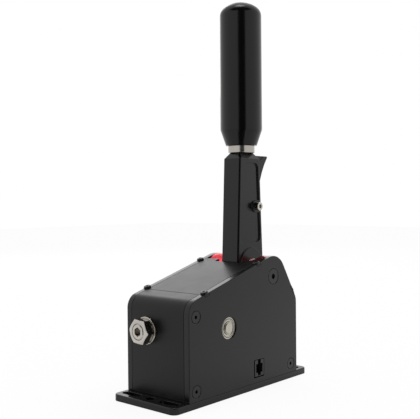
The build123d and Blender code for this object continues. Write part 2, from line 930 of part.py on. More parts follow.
def lever_cuts():
    """Every hole and slot of the lever."""
    wide = (-slot_half_width, slot_half_width)
    past = horn_tip_x + overrun
    through = (-outer_y, outer_y)
    seat = (pivot_bearing_inner_y, outer_y)
    cheek_room = outline(
        (slot_front_x, slot_step_z, 0),
        (slot_front_x, slot_front_low_z, 0),
        (slot_heel_x, slot_heel_z, 0),
        (past, slot_heel_z, 0),
        (past, slot_step_z, 0),
    )
    cuts = [
        block((slot_floor_x, past), wide, (slot_heel_z, lever_top_z + overrun)),
        across(cheek_room, wide),
        bar("Y", trigger_pivot, wide, trigger_hub_radius + trigger_hub_clearance),
        bar("Y", trigger_pivot, (-outer_y, trigger_screw_tip_y), trigger_screw_radius + fit_gap),
        bar("Z", (pivot_x, 0), (pivot_z, slot_front_low_z), rod_radius + running_gap),
        bar("Z", (pivot_x, 0), (slot_step_z - overrun, spring_bore_top), rod_spring_bore_radius),
        bar("Z", (pivot_x, 0), (stud_low_z, lever_top_z + overrun), stud_radius + fit_gap),
        bar("Y", pivot, through, gate_bore_radius),
        bar("Y", arm_eye, through, pin_radius + fit_gap),
    ]
    return cuts + both_sides(bar("Y", pivot, seat, pivot_bearing_radius + fit_gap))


def knob_stud():
    return bar("Z", (pivot_x, 0), (stud_low_z, stud_high_z), stud_radius)


def knob_collar():
    collar = bar("Z", (pivot_x, 0), (lever_top_z, collar_top_z), collar_radius)
    collar = chamfer(collar.edges().filter_by(GeomType.CIRCLE), collar_chamfer)
    bore = (lever_top_z - overrun, collar_top_z + overrun)
    return collar - bar("Z", (pivot_x, 0), bore, stud_radius + fit_gap)


def knob():
    """Knob with a domed top of two tangent arcs: a shoulder and a flatter crown."""
    cone_top_z = collar_top_z + knob_cone_height
    bore_radius = stud_radius + fit_gap
    bore_top_z = stud_high_z + fit_gap
    sides = Polyline(
        (0, knob_shoulder_z + knob_dome_height),
        (0, bore_top_z),
        (bore_radius, bore_top_z),
        (bore_radius, collar_top_z),
        (knob_foot_radius, collar_top_z),
        (knob_radius, cone_top_z),
        (knob_radius, knob_shoulder_z),
    )
    inset = knob_radius - knob_dome_radius
    rise = knob_dome_height - knob_dome_radius
    crown = (inset ** 2 + knob_dome_height ** 2 - knob_dome_radius ** 2) / (2 * rise)
    crown_z = knob_shoulder_z + knob_dome_height - crown
    turn = math.degrees(math.atan2(crown - knob_dome_height, inset))
    shoulder = CenterArc((inset, knob_shoulder_z), knob_dome_radius, 0, turn)
    dome = CenterArc((0, crown_z), crown, turn, quarter_turn - turn)
    profile = make_face(sides + shoulder + dome)
    return Pos(pivot_x, 0, 0) * revolve(Plane.XZ * profile, Axis.Z)


def trigger_screw():
    head_y = -lever_half_width - trigger_screw_head_height
    head = bar("Y", trigger_pivot, (head_y, -lever_half_width), trigger_screw_head_radius)
    head = chamfer(head.edges().sort_by(Axis.Y)[0], trigger_screw_chamfer)
    shank = bar("Y", trigger_pivot, (-lever_half_width, trigger_screw_tip_y - fit_gap), trigger_screw_radius)
    depth = trigger_screw_head_height * key_depth_share
    return head + shank - facing((trigger_x, head_y, trigger_z), (0, -1, 0)) * key_socket(m5_key, depth)


def trigger_face():
    """Side view of the trigger: hub, cheeks forward to the rod, and the horn behind the lever."""
    hub_low_z = trigger_z - trigger_hub_radius
    return outline(
        (horn_tip_x, horn_top_z, horn_tip_radius),
        (horn_front_x, horn_top_z, 0),
        (horn_front_x, horn_front_z, 0),
        (cheek_step_x, cheek_top_z, 0),
        (cheek_front_x, cheek_top_z, 0),
        (cheek_front_x, cheek_low_z, 0),
        (trigger_x - trigger_hub_radius, trigger_z, 0),
        (trigger_x, hub_low_z, 0),
        (horn_heel_x, trigger_z, 0),
        (horn_heel_x, cheek_low_z, 0),
        (horn_throat_x, horn_throat_z, 0),
        (horn_root_x, horn_root_z, 0),
        (horn_back_x, horn_back_z, 0),
        (horn_hook_x, horn_hook_z, 0),
    ) + Pos(*trigger_pivot) * Circle(trigger_hub_radius)


def trigger():
    wide = (-trigger_half_width, trigger_half_width)
    body = across(trigger_face(), wide)
    body -= bar("Y", trigger_pivot, wide, trigger_screw_radius + running_gap)
    front = cheek_front_x - overrun
    body -= block(
        (front, pivot_x + rod_channel_half_width + cam_slot_travel),
        (-rod_channel_half_width, rod_channel_half_width),
        (trigger_z, horn_front_z),
    )
    turn = math.radians(cam_slot_angle)
    slot_end = (pivot_x + cam_slot_travel * math.cos(turn), rod_pin_z + cam_slot_travel * math.sin(turn))
    slot_radius = rod_pin_radius + rod_pin_clearance
    body -= across(bone((pivot_x, rod_pin_z), slot_radius, slot_end, slot_radius), wide)
    bevel = outline(
        (horn_bevel_front_x, horn_bevel_low_z, 0),
        (horn_bevel_rear_x, horn_bevel_high_z, 0),
        (horn_bevel_front_x, horn_bevel_high_z, 0),
    )
    bevel_span = (-trigger_half_width - overrun, -trigger_half_width + horn_bevel_depth)
    for each in both_sides(across(bevel, bevel_span)):
        body -= each
    return body


def trigger_spring():
    span = (slot_floor_x + panel_gap, horn_front_x - panel_gap)
    inner = trigger_spring_radius - trigger_spring_wire
    return ring("X", (0, trigger_spring_z), span, trigger_spring_radius, inner)


def lockout_rod():
    tip_z = pivot_z + gate_radius - gate_notch_depth + rod_tip_gap
    rod = bar("Z", (pivot_x, 0), (tip_z, rod_top_z), rod_radius)
    return rod - bar("Y", (pivot_x, rod_pin_z), (-outer_y, outer_y), rod_pin_radius + fit_gap)


def rod_cross_pin():
    half = slot_half_width - rod_pin_end_gap
    return bar("Y", (pivot_x, rod_pin_z), (-half, half), rod_pin_radius)


def rod_spring():
    start = rod_top_z + rod_spring_end_gap
    span = (start, start + rod_spring_length)
    return ring("Z", (pivot_x, 0), span, rod_spring_radius, rod_spring_radius - rod_spring_wire)


# Cross shaft with crank and cam

def cross_shaft():
    half = outer_y - shaft_end_inset
    body = bar("Y", shaft, (-half, half), shaft_radius)
    return chamfer(body.edges().filter_by(GeomType.CIRCLE), shaft_end_chamfer)


def shaft_bearing_outer_rings():
    outer = shielded_outer_ring(
        shaft,
        (shaft_bearing_inner_y, shaft_bearing_outer_y),
        shaft_bearing_radius,
        shaft_race_radius,
        shaft_lip_radius,
    )
    return group(both_sides(outer))


def shaft_bearing_inner_rings():
    span = (shaft_bearing_inner_y, shaft_bearing_outer_y)
    inner = ring("Y", shaft, span, shaft_inner_ring_radius, shaft_radius + fit_gap)
    return group(both_sides(inner))


def shaft_spacers():
    bore_radius = shaft_radius + fit_gap
    right = ring("Y", shaft, (-shaft_bearing_inner_y, -crank_half_width), spacer_radius, bore_radius)
    left = ring("Y", shaft, (cam_inner_y + cam_width, shaft_bearing_inner_y), spacer_radius, bore_radius)
    return group([right, left])


def crank_screw_span():
    """Place on X of the crank's set screw."""
    return shaft_x - crank_hub_radius, shaft_x - crank_hub_radius + set_screw_length


def cam_screw_span():
    """Place on X of the cam's set screw."""
    reach = math.hypot(cam_flat_distance, cam_flat_half_width)
    return shaft_x + reach - set_screw_length, shaft_x + reach - panel_gap


def crank():
    face = bone(shaft, crank_hub_radius, crank_eye, crank_eye_radius)
    tail_height = crank_eye[1] - crank_tail_z
    face += Pos(shaft_x, crank_tail_z + tail_height / 2) * Rectangle(2 * crank_tail_half_depth, tail_height)
    arm_height = stop_arm_top_z - shaft_z
    face += Pos(shaft_x, shaft_z + arm_height / 2) * Rectangle(2 * stop_arm_half_depth, arm_height)
    body = across(face, (-crank_half_width, crank_half_width))
    body -= bar("Y", shaft, (-outer_y, outer_y), shaft_radius + fit_gap)
    body -= bar("Y", crank_eye, (-outer_y, outer_y), pin_radius + fit_gap)
    body -= bar("Z", (shaft_x, 0), (0, crank_tail_z + magnet_length), magnet_radius + fit_gap)
    low, high = crank_screw_span()
    return body - bar("X", (0, shaft_z), (low - overrun, shaft_x), set_screw_radius + fit_gap)


def detent_cam():
    centre_y = cam_inner_y + cam_width / 2
    span = (cam_inner_y, cam_inner_y + cam_width)
    reach = math.hypot(cam_flat_distance, cam_flat_half_width)
    body = ring("Y", shaft, span, reach, shaft_radius + fit_gap)
    flat_x = shaft_x - cam_flat_distance
    body -= block((flat_x - crank_hub_radius, flat_x), span, (shaft_z - reach, shaft_z + reach))
    bore = (shaft_x, shaft_x + reach + overrun)
    return body - bar("X", (centre_y, shaft_z), bore, set_screw_radius + fit_gap)


def set_screws():
    centre_y = cam_inner_y + cam_width / 2
    crank_screw = bar("X", (0, shaft_z), crank_screw_span(), set_screw_radius)
    cam_screw = bar("X", (centre_y, shaft_z), cam_screw_span(), set_screw_radius)
    return group([crank_screw, cam_screw])


def magnet():
    return bar("Z", (shaft_x, 0), (crank_tail_z, crank_tail_z + magnet_length - fit_gap), magnet_radius)


# Link plates and their pins

def joint_pin(centre):
    """Pin through an arm and both link plates, grooved for its clips."""
    end = clip_inner_y + clip_thickness + pin_end
    pin = bar("Y", centre, (-end, end), pin_radius)
    groove_span = (clip_inner_y - fit_gap, clip_inner_y + clip_thickness + fit_gap)
    for groove in both_sides(ring("Y", centre, groove_span, pin_radius + overrun, clip_groove_radius)):
        pin -= groove
    return pin


def pin_clips(centre):
    """Spring clips in the pin's grooves, open downwards."""
    span = (clip_inner_y, clip_inner_y + clip_thickness)
    clip = ring("Y", centre, span, clip_radius, clip_groove_radius + fit_gap)
    mouth = (centre[0] - clip_mouth_half_width, centre[0] + clip_mouth_half_width)
    clip -= block(mouth, span, (centre[1] - clip_radius - overrun, centre[1]))
    return group(both_sides(clip))


def link_plate_left():
    face = bone(arm_eye, link_eye_radius, crank_eye, link_eye_radius)
    span = (link_inner_y, link_outer_y)
    plate = across(face, span)
    middle = (Vector(*arm_eye) + Vector(*crank_eye)) / 2
    along = (Vector(*arm_eye) - Vector(*crank_eye)).normalized() * link_slot_half_length
    low, high = middle - along, middle + along
    plate -= across(bone((low.X, low.Y), link_slot_radius, (high.X, high.Y), link_slot_radius), span)
    for centre in (arm_eye, crank_eye):
        plate -= bar("Y", centre, span, bush_radius + fit_gap)
    return plate


def link_plate_right():
    return mirror(link_plate_left(), about=Plane.XZ)


def link_bushes():
    span = (link_inner_y, link_outer_y)
    bushes = []
    for centre in (arm_eye, crank_eye):
        bushes += both_sides(ring("Y", centre, span, bush_radius, pin_radius + running_gap))
    return group(bushes)


# Adjuster, lock nut and plunger

def adjuster_screw():
    body = bar("X", adjuster_centre, (adjuster_outer_x, adjuster_inner_x), adjuster_radius)
    body = chamfer(body.edges().filter_by(GeomType.CIRCLE), adjuster_chamfer)
    body -= bar("X", adjuster_centre, (bore_end_x, adjuster_inner_x + overrun), adjuster_bore_radius)
    socket = key_socket(adjuster_key, adjuster_key_depth)
    return body - facing((adjuster_outer_x, adjuster_y, adjuster_z), (-1, 0, 0)) * socket


def flange_washer():
    body = bar("X", adjuster_centre, (flange_face_x, front_x), flange_radius)
    body = chamfer(body.edges().sort_by(Axis.X)[0], flange_chamfer)
    return body - bar("X", adjuster_centre, (nut_face_x, 0), adjuster_radius + running_gap)


def lock_nut():
    corner = nut_across_flats / math.sqrt(3)
    cut = (corner - nut_face_radius) * nut_chamfer_slope_share
    hexagon = RegularPolygon(nut_across_flats / 2, 6, major_radius=False, rotation=nut_turn)
    body = extrude(station("X", adjuster_centre, nut_face_x) * hexagon, amount=nut_height)
    rounds = taper("X", adjuster_centre, (nut_face_x, nut_face_x + cut), nut_face_radius, corner)
    rounds += bar("X", adjuster_centre, (nut_face_x + cut, flange_face_x - cut), corner)
    rounds += taper("X", adjuster_centre, (flange_face_x - cut, flange_face_x), corner, nut_face_radius)
    body = body & rounds
    return body - bar("X", adjuster_centre, (adjuster_outer_x, 0), adjuster_radius + running_gap)


def spring_seat():
    span = (bore_end_x, bore_end_x + seat_thickness)
    return bar("X", adjuster_centre, span, adjuster_bore_radius - running_gap)


def main_spring():
    span = (bore_end_x + seat_thickness, plunger_back_x)
    return ring("X", adjuster_centre, span, main_spring_radius, main_spring_radius - main_spring_wire)


def plunger():
    body = bar("X", adjuster_centre, (plunger_back_x, plunger_shoulder_x), adjuster_bore_radius - running_gap)
    return body + bar("X", adjuster_centre, (plunger_shoulder_x, plunger_tip_x), plunger_nose_radius)


# Stop bracket and bump stops

def bracket_seats():
    """Seats of the bracket's screws."""
    face_x = block_rear_x + bracket_thickness
    return [facing((face_x, y, bracket_screw_z), (1, 0, 0)) for y in (-bracket_screw_y, bracket_screw_y)]


def stop_bracket():
    wide = (-bracket_half_width, bracket_half_width)
    end_x = shaft_x + window_half_length + bracket_end_wall
    body = block((block_rear_x, end_x), wide, (bracket_plate_low_z, bracket_top_z))
    body += block((block_rear_x, block_rear_x + bracket_thickness), wide, (bracket_low_z, bracket_top_z))
    body -= block(
        (shaft_x - window_half_length, shaft_x + window_half_length),
        (-window_half_width, window_half_width),
        (bracket_low_z, bracket_top_z + overrun),
    )
    for seat in bracket_seats():
        body -= seat * drill_hole(m4_round, bracket_screw_length)
    return body


def stop_bracket_screws():
    return group([seat * round_screw(m4_round, bracket_screw_length) for seat in bracket_seats()])


def bump_stops():
    stops = []
    for side in (-1, 1):
        faces = sorted((shaft_x + side * bump_face, shaft_x + side * window_half_length))
        stops.append(block(faces, (-bump_half_width, bump_half_width), (bracket_plate_low_z, bracket_top_z)))
    return group(stops)


# Circuit board and socket

def board_spots():
    xs = (board_front_x + standoff_inset, board_rear_x - standoff_inset)
    ys = (board_right_y + standoff_inset, board_left_y - standoff_inset)
    return [(x, y) for x in xs for y in ys]


def circuit_board():
    board = block((board_front_x, board_rear_x), (board_right_y, board_left_y), (board_low_z, board_top_z))
    for x, y in board_spots():
        board -= Pos(x, y, board_top_z) * drill_hole(m3_round, board_thickness + fit_gap)
    return board


def board_standoffs():
    posts = []
    for x, y in board_spots():
        post = bar("Z", (x, y), (base_thickness, board_low_z), standoff_radius)
        posts.append(post - Pos(x, y, board_top_z) * drill_hole(m3_round, board_screw_length))
    return group(posts)


def board_screws():
    screw = round_screw(m3_round, board_screw_length)
    return group([Pos(x, y, board_top_z) * screw for x, y in board_spots()])


def jack_middle_x():
    return (socket_front_x + socket_rear_x) / 2


def socket_housing():
    x = jack_middle_x()
    back_y = socket_face_y + socket_length
    body = block((socket_front_x, socket_rear_x), (socket_face_y, back_y), (board_top_z, socket_top_z))
    depth = (socket_face_y - overrun, socket_face_y + socket_depth)
    body -= block((x - jack_width / 2, x + jack_width / 2), depth, (jack_low_z, jack_high_z))
    notch = (x - jack_notch_width / 2, x + jack_notch_width / 2)
    return body - block(notch, depth, (jack_notch_low_z, socket_top_z + overrun))


def socket_contacts():
    contacts = []
    for index in range(contact_count):
        x = jack_middle_x() + (index - (contact_count - 1) / 2) * contact_pitch
        z = jack_low_z + contact_ceiling_gap
        low_y = socket_face_y + contact_front_inset
        span = (x - contact_wire / 2, x + contact_wire / 2)
        contacts.append(block(span, (low_y, socket_face_y + socket_depth), (z, z + contact_wire)))
    return group(contacts)


def hall_sensors():
    sensors = []
    for side in (-1, 1):
        x = shaft_x + side * sensor_spacing / 2
        spans = (x - sensor_length / 2, x + sensor_length / 2)
        sensors.append(
            block(spans, (-sensor_width / 2, sensor_width / 2), (board_top_z, board_top_z + sensor_height))
        )
    return group(sensors)


def processor_chip():
    half = chip_size / 2
    along = (chip_x - half, chip_x + half)
    sideways = (chip_y - half, chip_y + half)
    return block(along, sideways, (board_top_z, board_top_z + chip_height))


NODES = {
    "base_plate": base_plate,
    "base_screws": base_screws,
    "side_plate_right": side_plate_right,
    "side_plate_left": side_plate_left,
    "side_plate_screws": side_plate_screws,
    "front_block": front_block,
    "rear_crossbar": rear_crossbar,
    "top_cover": top_cover,
    "top_cover_screws": top_cover_screws,
    "rear_cover": rear_cover,
    "rear_cover_screws": rear_cover_screws,
    "pivot_axle": pivot_axle,
    "pivot_screws": pivot_screws,
    "pivot_drum_left": pivot_drum_left,
    "pivot_drum_right": pivot_drum_right,
    "pivot_washers": pivot_washers,
    "gate_ring": gate_ring,
    "pivot_bearing_inner_rings": pivot_bearing_inner_rings,
    "pivot_bearing_outer_rings": pivot_bearing_outer_rings,
    "lever_body": lever_body,
    "knob_stud": knob_stud,
    "knob_collar": knob_collar,
    "knob": knob,
    "trigger_screw": trigger_screw,
    "trigger": trigger,
    "trigger_spring": trigger_spring,
    "lockout_rod": lockout_rod,
    "rod_cross_pin": rod_cross_pin,
    "rod_spring": rod_spring,
    "cross_shaft": cross_shaft,
    "shaft_bearing_outer_rings": shaft_bearing_outer_rings,
    "shaft_bearing_inner_rings": shaft_bearing_inner_rings,
    "shaft_spacers": shaft_spacers,
    "crank": crank,
    "detent_cam": detent_cam,
    "set_screws": set_screws,
    "magnet": magnet,
    "arm_pin": lambda: joint_pin(arm_eye),
    "arm_pin_clips": lambda: pin_clips(arm_eye),
    "crank_pin": lambda: joint_pin(crank_eye),
    "crank_pin_clips": lambda: pin_clips(crank_eye),
    "link_plate_left": link_plate_left,
    "link_plate_right": link_plate_right,
    "link_bushes": link_bushes,
    "adjuster_screw": adjuster_screw,
    "flange_washer": flange_washer,
    "lock_nut": lock_nut,
    "spring_seat": spring_seat,
    "main_spring": main_spring,
    "plunger": plunger,
    "stop_bracket": stop_bracket,
    "stop_bracket_screws": stop_bracket_screws,
    "bump_stops": bump_stops,
    "circuit_board": circuit_board,
    "board_standoffs": board_standoffs,
    "board_screws": board_screws,
    "socket_housing": socket_housing,
    "socket_contacts": socket_contacts,
    "hall_sensors": hall_sensors,
    "processor_chip": processor_chip,
}

os.makedirs("parts", exist_ok=True)
for name, make in NODES.items():
    export_step(make(), f"parts/{name}.step")
print(len(NODES), "nodes written")
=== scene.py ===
"""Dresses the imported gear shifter: broken edges, finishes, screws, coils and a white studio."""
import json
import math

import bmesh
import bpy
import numpy
from bpy.props import FloatProperty, FloatVectorProperty, IntProperty, PointerProperty
from mathutils import Matrix, Vector


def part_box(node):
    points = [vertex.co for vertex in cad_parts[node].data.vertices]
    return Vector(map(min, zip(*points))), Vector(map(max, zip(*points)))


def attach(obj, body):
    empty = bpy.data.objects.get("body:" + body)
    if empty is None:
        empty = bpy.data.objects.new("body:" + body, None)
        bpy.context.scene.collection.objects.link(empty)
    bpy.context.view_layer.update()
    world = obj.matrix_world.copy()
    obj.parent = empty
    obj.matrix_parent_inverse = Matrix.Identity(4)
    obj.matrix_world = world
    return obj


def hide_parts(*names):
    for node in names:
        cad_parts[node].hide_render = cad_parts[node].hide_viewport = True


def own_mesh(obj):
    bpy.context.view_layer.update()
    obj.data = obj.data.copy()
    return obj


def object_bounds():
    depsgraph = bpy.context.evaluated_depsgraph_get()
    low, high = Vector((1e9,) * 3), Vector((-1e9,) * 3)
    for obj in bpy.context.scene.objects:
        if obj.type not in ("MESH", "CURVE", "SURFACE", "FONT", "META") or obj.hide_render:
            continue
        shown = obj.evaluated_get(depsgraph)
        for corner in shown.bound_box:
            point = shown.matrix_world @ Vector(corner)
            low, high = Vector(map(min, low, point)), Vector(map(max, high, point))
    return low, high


bl_info = {
    "name": "Gear Shifter Finishes",
    "version": (1, 0, 0),
    "blender": (4, 5, 0),
    "location": "3D View > Sidebar > Shifter",
    "description": "Puts finished pieces on the gear shifter's frame and sets up its studio",
    "category": "Object",
}

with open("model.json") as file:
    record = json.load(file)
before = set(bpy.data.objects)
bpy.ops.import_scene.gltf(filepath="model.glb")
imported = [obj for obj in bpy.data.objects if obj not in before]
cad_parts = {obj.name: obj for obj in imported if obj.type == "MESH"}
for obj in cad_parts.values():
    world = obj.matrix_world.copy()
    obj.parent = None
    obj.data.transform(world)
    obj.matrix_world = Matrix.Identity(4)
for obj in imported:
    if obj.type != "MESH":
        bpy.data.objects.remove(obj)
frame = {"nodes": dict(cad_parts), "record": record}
cad_low, cad_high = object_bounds()
nodes = frame["nodes"]
record = frame["record"]
body_of_node = {node: body for body, held in record["behaviour"]["bodies"].items() for node in held}

MM = 0.001
WELD = 0.001 * MM
FLAT = math.radians(0.4)
EDGE_ANGLE = math.radians(28)
EDGE_SEGMENTS = 2
NORMAL_WEIGHT = 80
GRAIN = 0.16 * MM
MOTTLE = 14 * MM
MOTTLE_RANGE = (0.3, 0.7)
TINT_SHARES = (0.8, 1.2)
WEAR_WIDTH = 0.4 * MM
WEAR_GAIN = 9.0
CHIP_SCALE = 420.0
CHIP_RANGE = (0.42, 0.62)
SPECK_SCALE = 900.0
SPECK_RANGE = (0.55, 0.8)
DUST_COLOUR = (0.3, 0.29, 0.27)
RING_SPACING = 0.12 * MM
RIM_SHARE = 0.97
AXIS_DIGITS = 6
COIL_STEPS = 28
FLOOR_REACH = 3.0
FLOOR_DROP = 0.05 * MM
MAT_DROP = 0.02 * MM
FLOOR_GREY = (0.93, 0.93, 0.93)
FLOOR_ROUGHNESS = 0.9
REFLECTED_SHARE = 0.25
SENSOR_WIDTH = 36
ACROSS = {"X": (0, 1, 1), "Y": (1, 0, 1), "Z": (1, 1, 0)}


def colour_property(label, about, default):
    """Colour that a user can change, in linear light."""
    return FloatVectorProperty(
        name=label, description=about, subtype="COLOR", size=3, min=0, max=1, default=default
    )


def length_property(label, about, default):
    """Length that a user can change."""
    return FloatProperty(name=label, description=about, unit="LENGTH", min=0, precision=5, default=default)


class ShifterFinishSettings(bpy.types.PropertyGroup):
    """Colours of the finishes, and the widths of the broken edges."""

    body_black: colour_property("Body black", "Anodised plates and lever", (0.0019, 0.0019, 0.002))
    knob_black: colour_property("Knob black", "Smooth anodised knob", (0.0012, 0.0012, 0.0013))
    drum_red: colour_property("Drum red", "Red anodised pivot drums", (0.56, 0.042, 0.06))
    steel: colour_property("Bright steel", "Turned nut, washer and adjuster", (0.49, 0.465, 0.425))
    collar_steel: colour_property("Collar steel", "Turned collar below the knob", (0.4, 0.378, 0.342))
    bearing: colour_property("Bearing steel", "Ground rings and shields", (0.44, 0.42, 0.36))
    oxide: colour_property("Black oxide", "Screws", (0.0022, 0.0022, 0.0024))
    plate_edge: length_property("Plate edge", "Broken edges of plates and lever", 0.3 * MM)
    part_edge: length_property("Part edge", "Broken edges of small turned and milled pieces", 0.12 * MM)
    screw_edge: length_property("Screw edge", "Broken edges of screws", 0.08 * MM)
    grain: length_property("Grain", "Size of the blasted grain under the anodising", GRAIN)


class ShifterCoilSettings(bpy.types.PropertyGroup):
    """Wire of the three hidden springs."""

    wire_share: FloatProperty(
        name="Wire share", description="Wire as a share of the coil's outer radius", min=0.05, max=0.5,
        subtype="FACTOR", default=0.24
    )
    turns: FloatProperty(name="Turns", description="Turns of each spring", min=2, max=20, default=6.5)
    sides: IntProperty(name="Sides", description="Sides of the wire", min=6, max=24, default=10)


class ShifterScrewSettings(bpy.types.PropertyGroup):
    """How the screws' sockets are left after tightening."""

    twist: FloatProperty(
        name="Twist", description="Largest turn of a screw about its axis", subtype="ANGLE",
        min=0, max=math.tau, default=math.tau
    )
    seed: IntProperty(name="Seed", description="Seed of the screws' turns", min=0, default=4)


class ShifterStageSettings(bpy.types.PropertyGroup):
    """Camera and studio."""

    place: FloatVectorProperty(
        name="Camera place", description="Place of the camera", subtype="TRANSLATION", unit="LENGTH",
        size=3, default=(-426.5 * MM, -368.6 * MM, 145.8 * MM)
    )
    heading: FloatProperty(
        name="Heading", description="Turn of the view from the shifter's long axis", subtype="ANGLE",
        default=math.radians(41.24)
    )
    rise: FloatProperty(
        name="Rise", description="Tilt of the view above the level", subtype="ANGLE",
        default=math.radians(-0.75)
    )
    roll: FloatProperty(
        name="Roll", description="Turn of the picture", subtype="ANGLE", default=math.radians(-0.49)
    )
    lens: FloatProperty(name="Lens", description="Focal length in millimetres", min=1, default=61.62)
    ambient: FloatProperty(name="Ambient", description="Light of the surroundings", min=0, default=0.61)
    card_level: FloatProperty(
        name="Card level", description="Light of the dark cards round the camera", min=0, default=0.05
    )
    white_share: FloatProperty(
        name="Floor white", description="Share of the floor that stays white in a shadow",
        subtype="FACTOR", min=0, max=1, default=0.9
    )


def add_node(tree, kind, inputs=None, **settings):
    """Adds a node whose inputs are set to values or linked to sockets."""
    node = tree.nodes.new(kind)
    for name, value in settings.items():
        setattr(node, name, value)
    for name, value in (inputs or {}).items():
        if isinstance(value, bpy.types.NodeSocket):
            tree.links.new(value, node.inputs[name])
        else:
            node.inputs[name].default_value = value
    return node


def new_group(name, kind, inputs, outputs):
    """Node group with named sockets, its input node and its output node."""
    tree = bpy.data.node_groups.new(name, kind)
    for label, socket, default in inputs:
        item = tree.interface.new_socket(name=label, in_out="INPUT", socket_type=socket)
        if default is not None:
            item.default_value = default
    for label, socket in outputs:
        tree.interface.new_socket(name=label, in_out="OUTPUT", socket_type=socket)
    return tree, tree.nodes.new("NodeGroupInput").outputs, tree.nodes.new("NodeGroupOutput").inputs


def math_node(tree, operation, first, second=0.0, clamp=False):
    """Sum, product or other operation on two values."""
    node = add_node(tree, "ShaderNodeMath", {0: first, 1: second}, operation=operation, use_clamp=clamp)
    return node.outputs[0]


def map_range(tree, value, start=0.0, end=1.0, low=0.0, high=1.0):
    """Value carried from one range to another and held at its ends."""
    limits = {"Value": value, "From Min": start, "From Max": end, "To Min": low, "To Max": high}
    return add_node(tree, "ShaderNodeMapRange", limits).outputs["Result"]


def object_noise(tree, scale, detail):
    """Noise on Object coordinates."""
    place = add_node(tree, "ShaderNodeTexCoord").outputs["Object"]
    noise = add_node(tree, "ShaderNodeTexNoise", {"Vector": place, "Scale": scale, "Detail": detail})
    return noise.outputs["Fac"]


def mix_colours(tree, share, first, second):
    """Colour between two, by a share."""
    # The node's sockets have one set for each type: 6, 7 and output 2 are those for colours.
    node = add_node(tree, "ShaderNodeMix", {0: share, 6: first, 7: second}, data_type="RGBA")
    return node.outputs[2]


def grain_group():
    """Blasted grain and slow mottling on Object coordinates."""
    tree, given, out = new_group(
        "Blasted Grain",
        "ShaderNodeTree",
        [("Grain Size", "NodeSocketFloat", GRAIN), ("Mottle Size", "NodeSocketFloat", MOTTLE)],
        [("Height", "NodeSocketFloat"), ("Mottle", "NodeSocketFloat")],
    )
    fine_scale = math_node(tree, "DIVIDE", 1.0, given["Grain Size"])
    slow_scale = math_node(tree, "DIVIDE", 1.0, given["Mottle Size"])
    tree.links.new(object_noise(tree, fine_scale, detail=2.0), out["Height"])
    tree.links.new(object_noise(tree, slow_scale, detail=5.0), out["Mottle"])
    return tree


def wear_group():
    """Mask of the rubbed edges, broken up by noise."""
    tree, given, out = new_group(
        "Edge Wear",
        "ShaderNodeTree",
        [("Width", "NodeSocketFloat", WEAR_WIDTH), ("Amount", "NodeSocketFloat", 0.5)],
        [("Mask", "NodeSocketFloat")],
    )
    rounded = add_node(tree, "ShaderNodeBevel", {"Radius": given["Width"]}, samples=4).outputs["Normal"]
    facing = add_node(tree, "ShaderNodeNewGeometry").outputs["Normal"]
    turn = add_node(tree, "ShaderNodeVectorMath", {0: rounded, 1: facing}, operation="DOT_PRODUCT")
    edge = math_node(tree, "SUBTRACT", 1.0, turn.outputs["Value"])
    edge = math_node(tree, "MULTIPLY", edge, WEAR_GAIN, clamp=True)
    chips = map_range(tree, object_noise(tree, CHIP_SCALE, detail=4.0), *CHIP_RANGE)
    mask = math_node(tree, "MULTIPLY", edge, chips)
    tree.links.new(math_node(tree, "MULTIPLY", mask, given["Amount"]), out["Mask"])
    return tree


def dust_group():
    """Mask of the dust that settles on what faces up."""
    tree, given, out = new_group(
        "Settled Dust",
        "ShaderNodeTree",
        [("Amount", "NodeSocketFloat", 0.3)],
        [("Mask", "NodeSocketFloat")],
    )
    facing = add_node(tree, "ShaderNodeNewGeometry").outputs["Normal"]
    up = add_node(tree, "ShaderNodeSeparateXYZ", {0: facing}).outputs["Z"]
    specks = map_range(tree, object_noise(tree, SPECK_SCALE, detail=6.0), *SPECK_RANGE)
    mask = math_node(tree, "MULTIPLY", math_node(tree, "MAXIMUM", up, 0.0), specks)
    tree.links.new(math_node(tree, "MULTIPLY", mask, given["Amount"]), out["Mask"])
    return tree


def turned_group():
    """Fine rings of a turned face about an axis."""
    tree, given, out = new_group(
        "Turned Rings",
        "ShaderNodeTree",
        [
            ("Centre", "NodeSocketVector", (0, 0, 0)),
            ("Across", "NodeSocketVector", (1, 1, 0)),
            ("Spacing", "NodeSocketFloat", RING_SPACING),
        ],
        [("Height", "NodeSocketFloat")],
    )
    place = add_node(tree, "ShaderNodeTexCoord").outputs["Object"]
    offset = add_node(tree, "ShaderNodeVectorMath", {0: place, 1: given["Centre"]}, operation="SUBTRACT")
    radial = add_node(
        tree, "ShaderNodeVectorMath", {0: offset.outputs[0], 1: given["Across"]}, operation="MULTIPLY"
    )
    radius = add_node(tree, "ShaderNodeVectorMath", {0: radial.outputs[0]}, operation="LENGTH")
    turns = math_node(tree, "DIVIDE", radius.outputs["Value"], given["Spacing"])
    rings = add_node(
        tree, "ShaderNodeTexNoise", {"W": turns, "Scale": 1.0, "Detail": 3.0}, noise_dimensions="1D"
    )
    tree.links.new(rings.outputs["Fac"], out["Height"])
    return tree


def shared_group(maker):
    """Group that is built on the first call and kept."""
    if not hasattr(maker, "tree"):
        maker.tree = maker()
    return maker.tree


def place_group(tree, maker, inputs):
    """Places a shared group in a material."""
    node = add_node(tree, "ShaderNodeGroup", node_tree=shared_group(maker))
    for name, value in inputs.items():
        node.inputs[name].default_value = value
    return node.outputs


def new_material(name):
    """Material with nodes, and its shader."""
    material = bpy.data.materials.new(name)
    material.use_nodes = True
    return material, material.node_tree.nodes["Principled BSDF"]


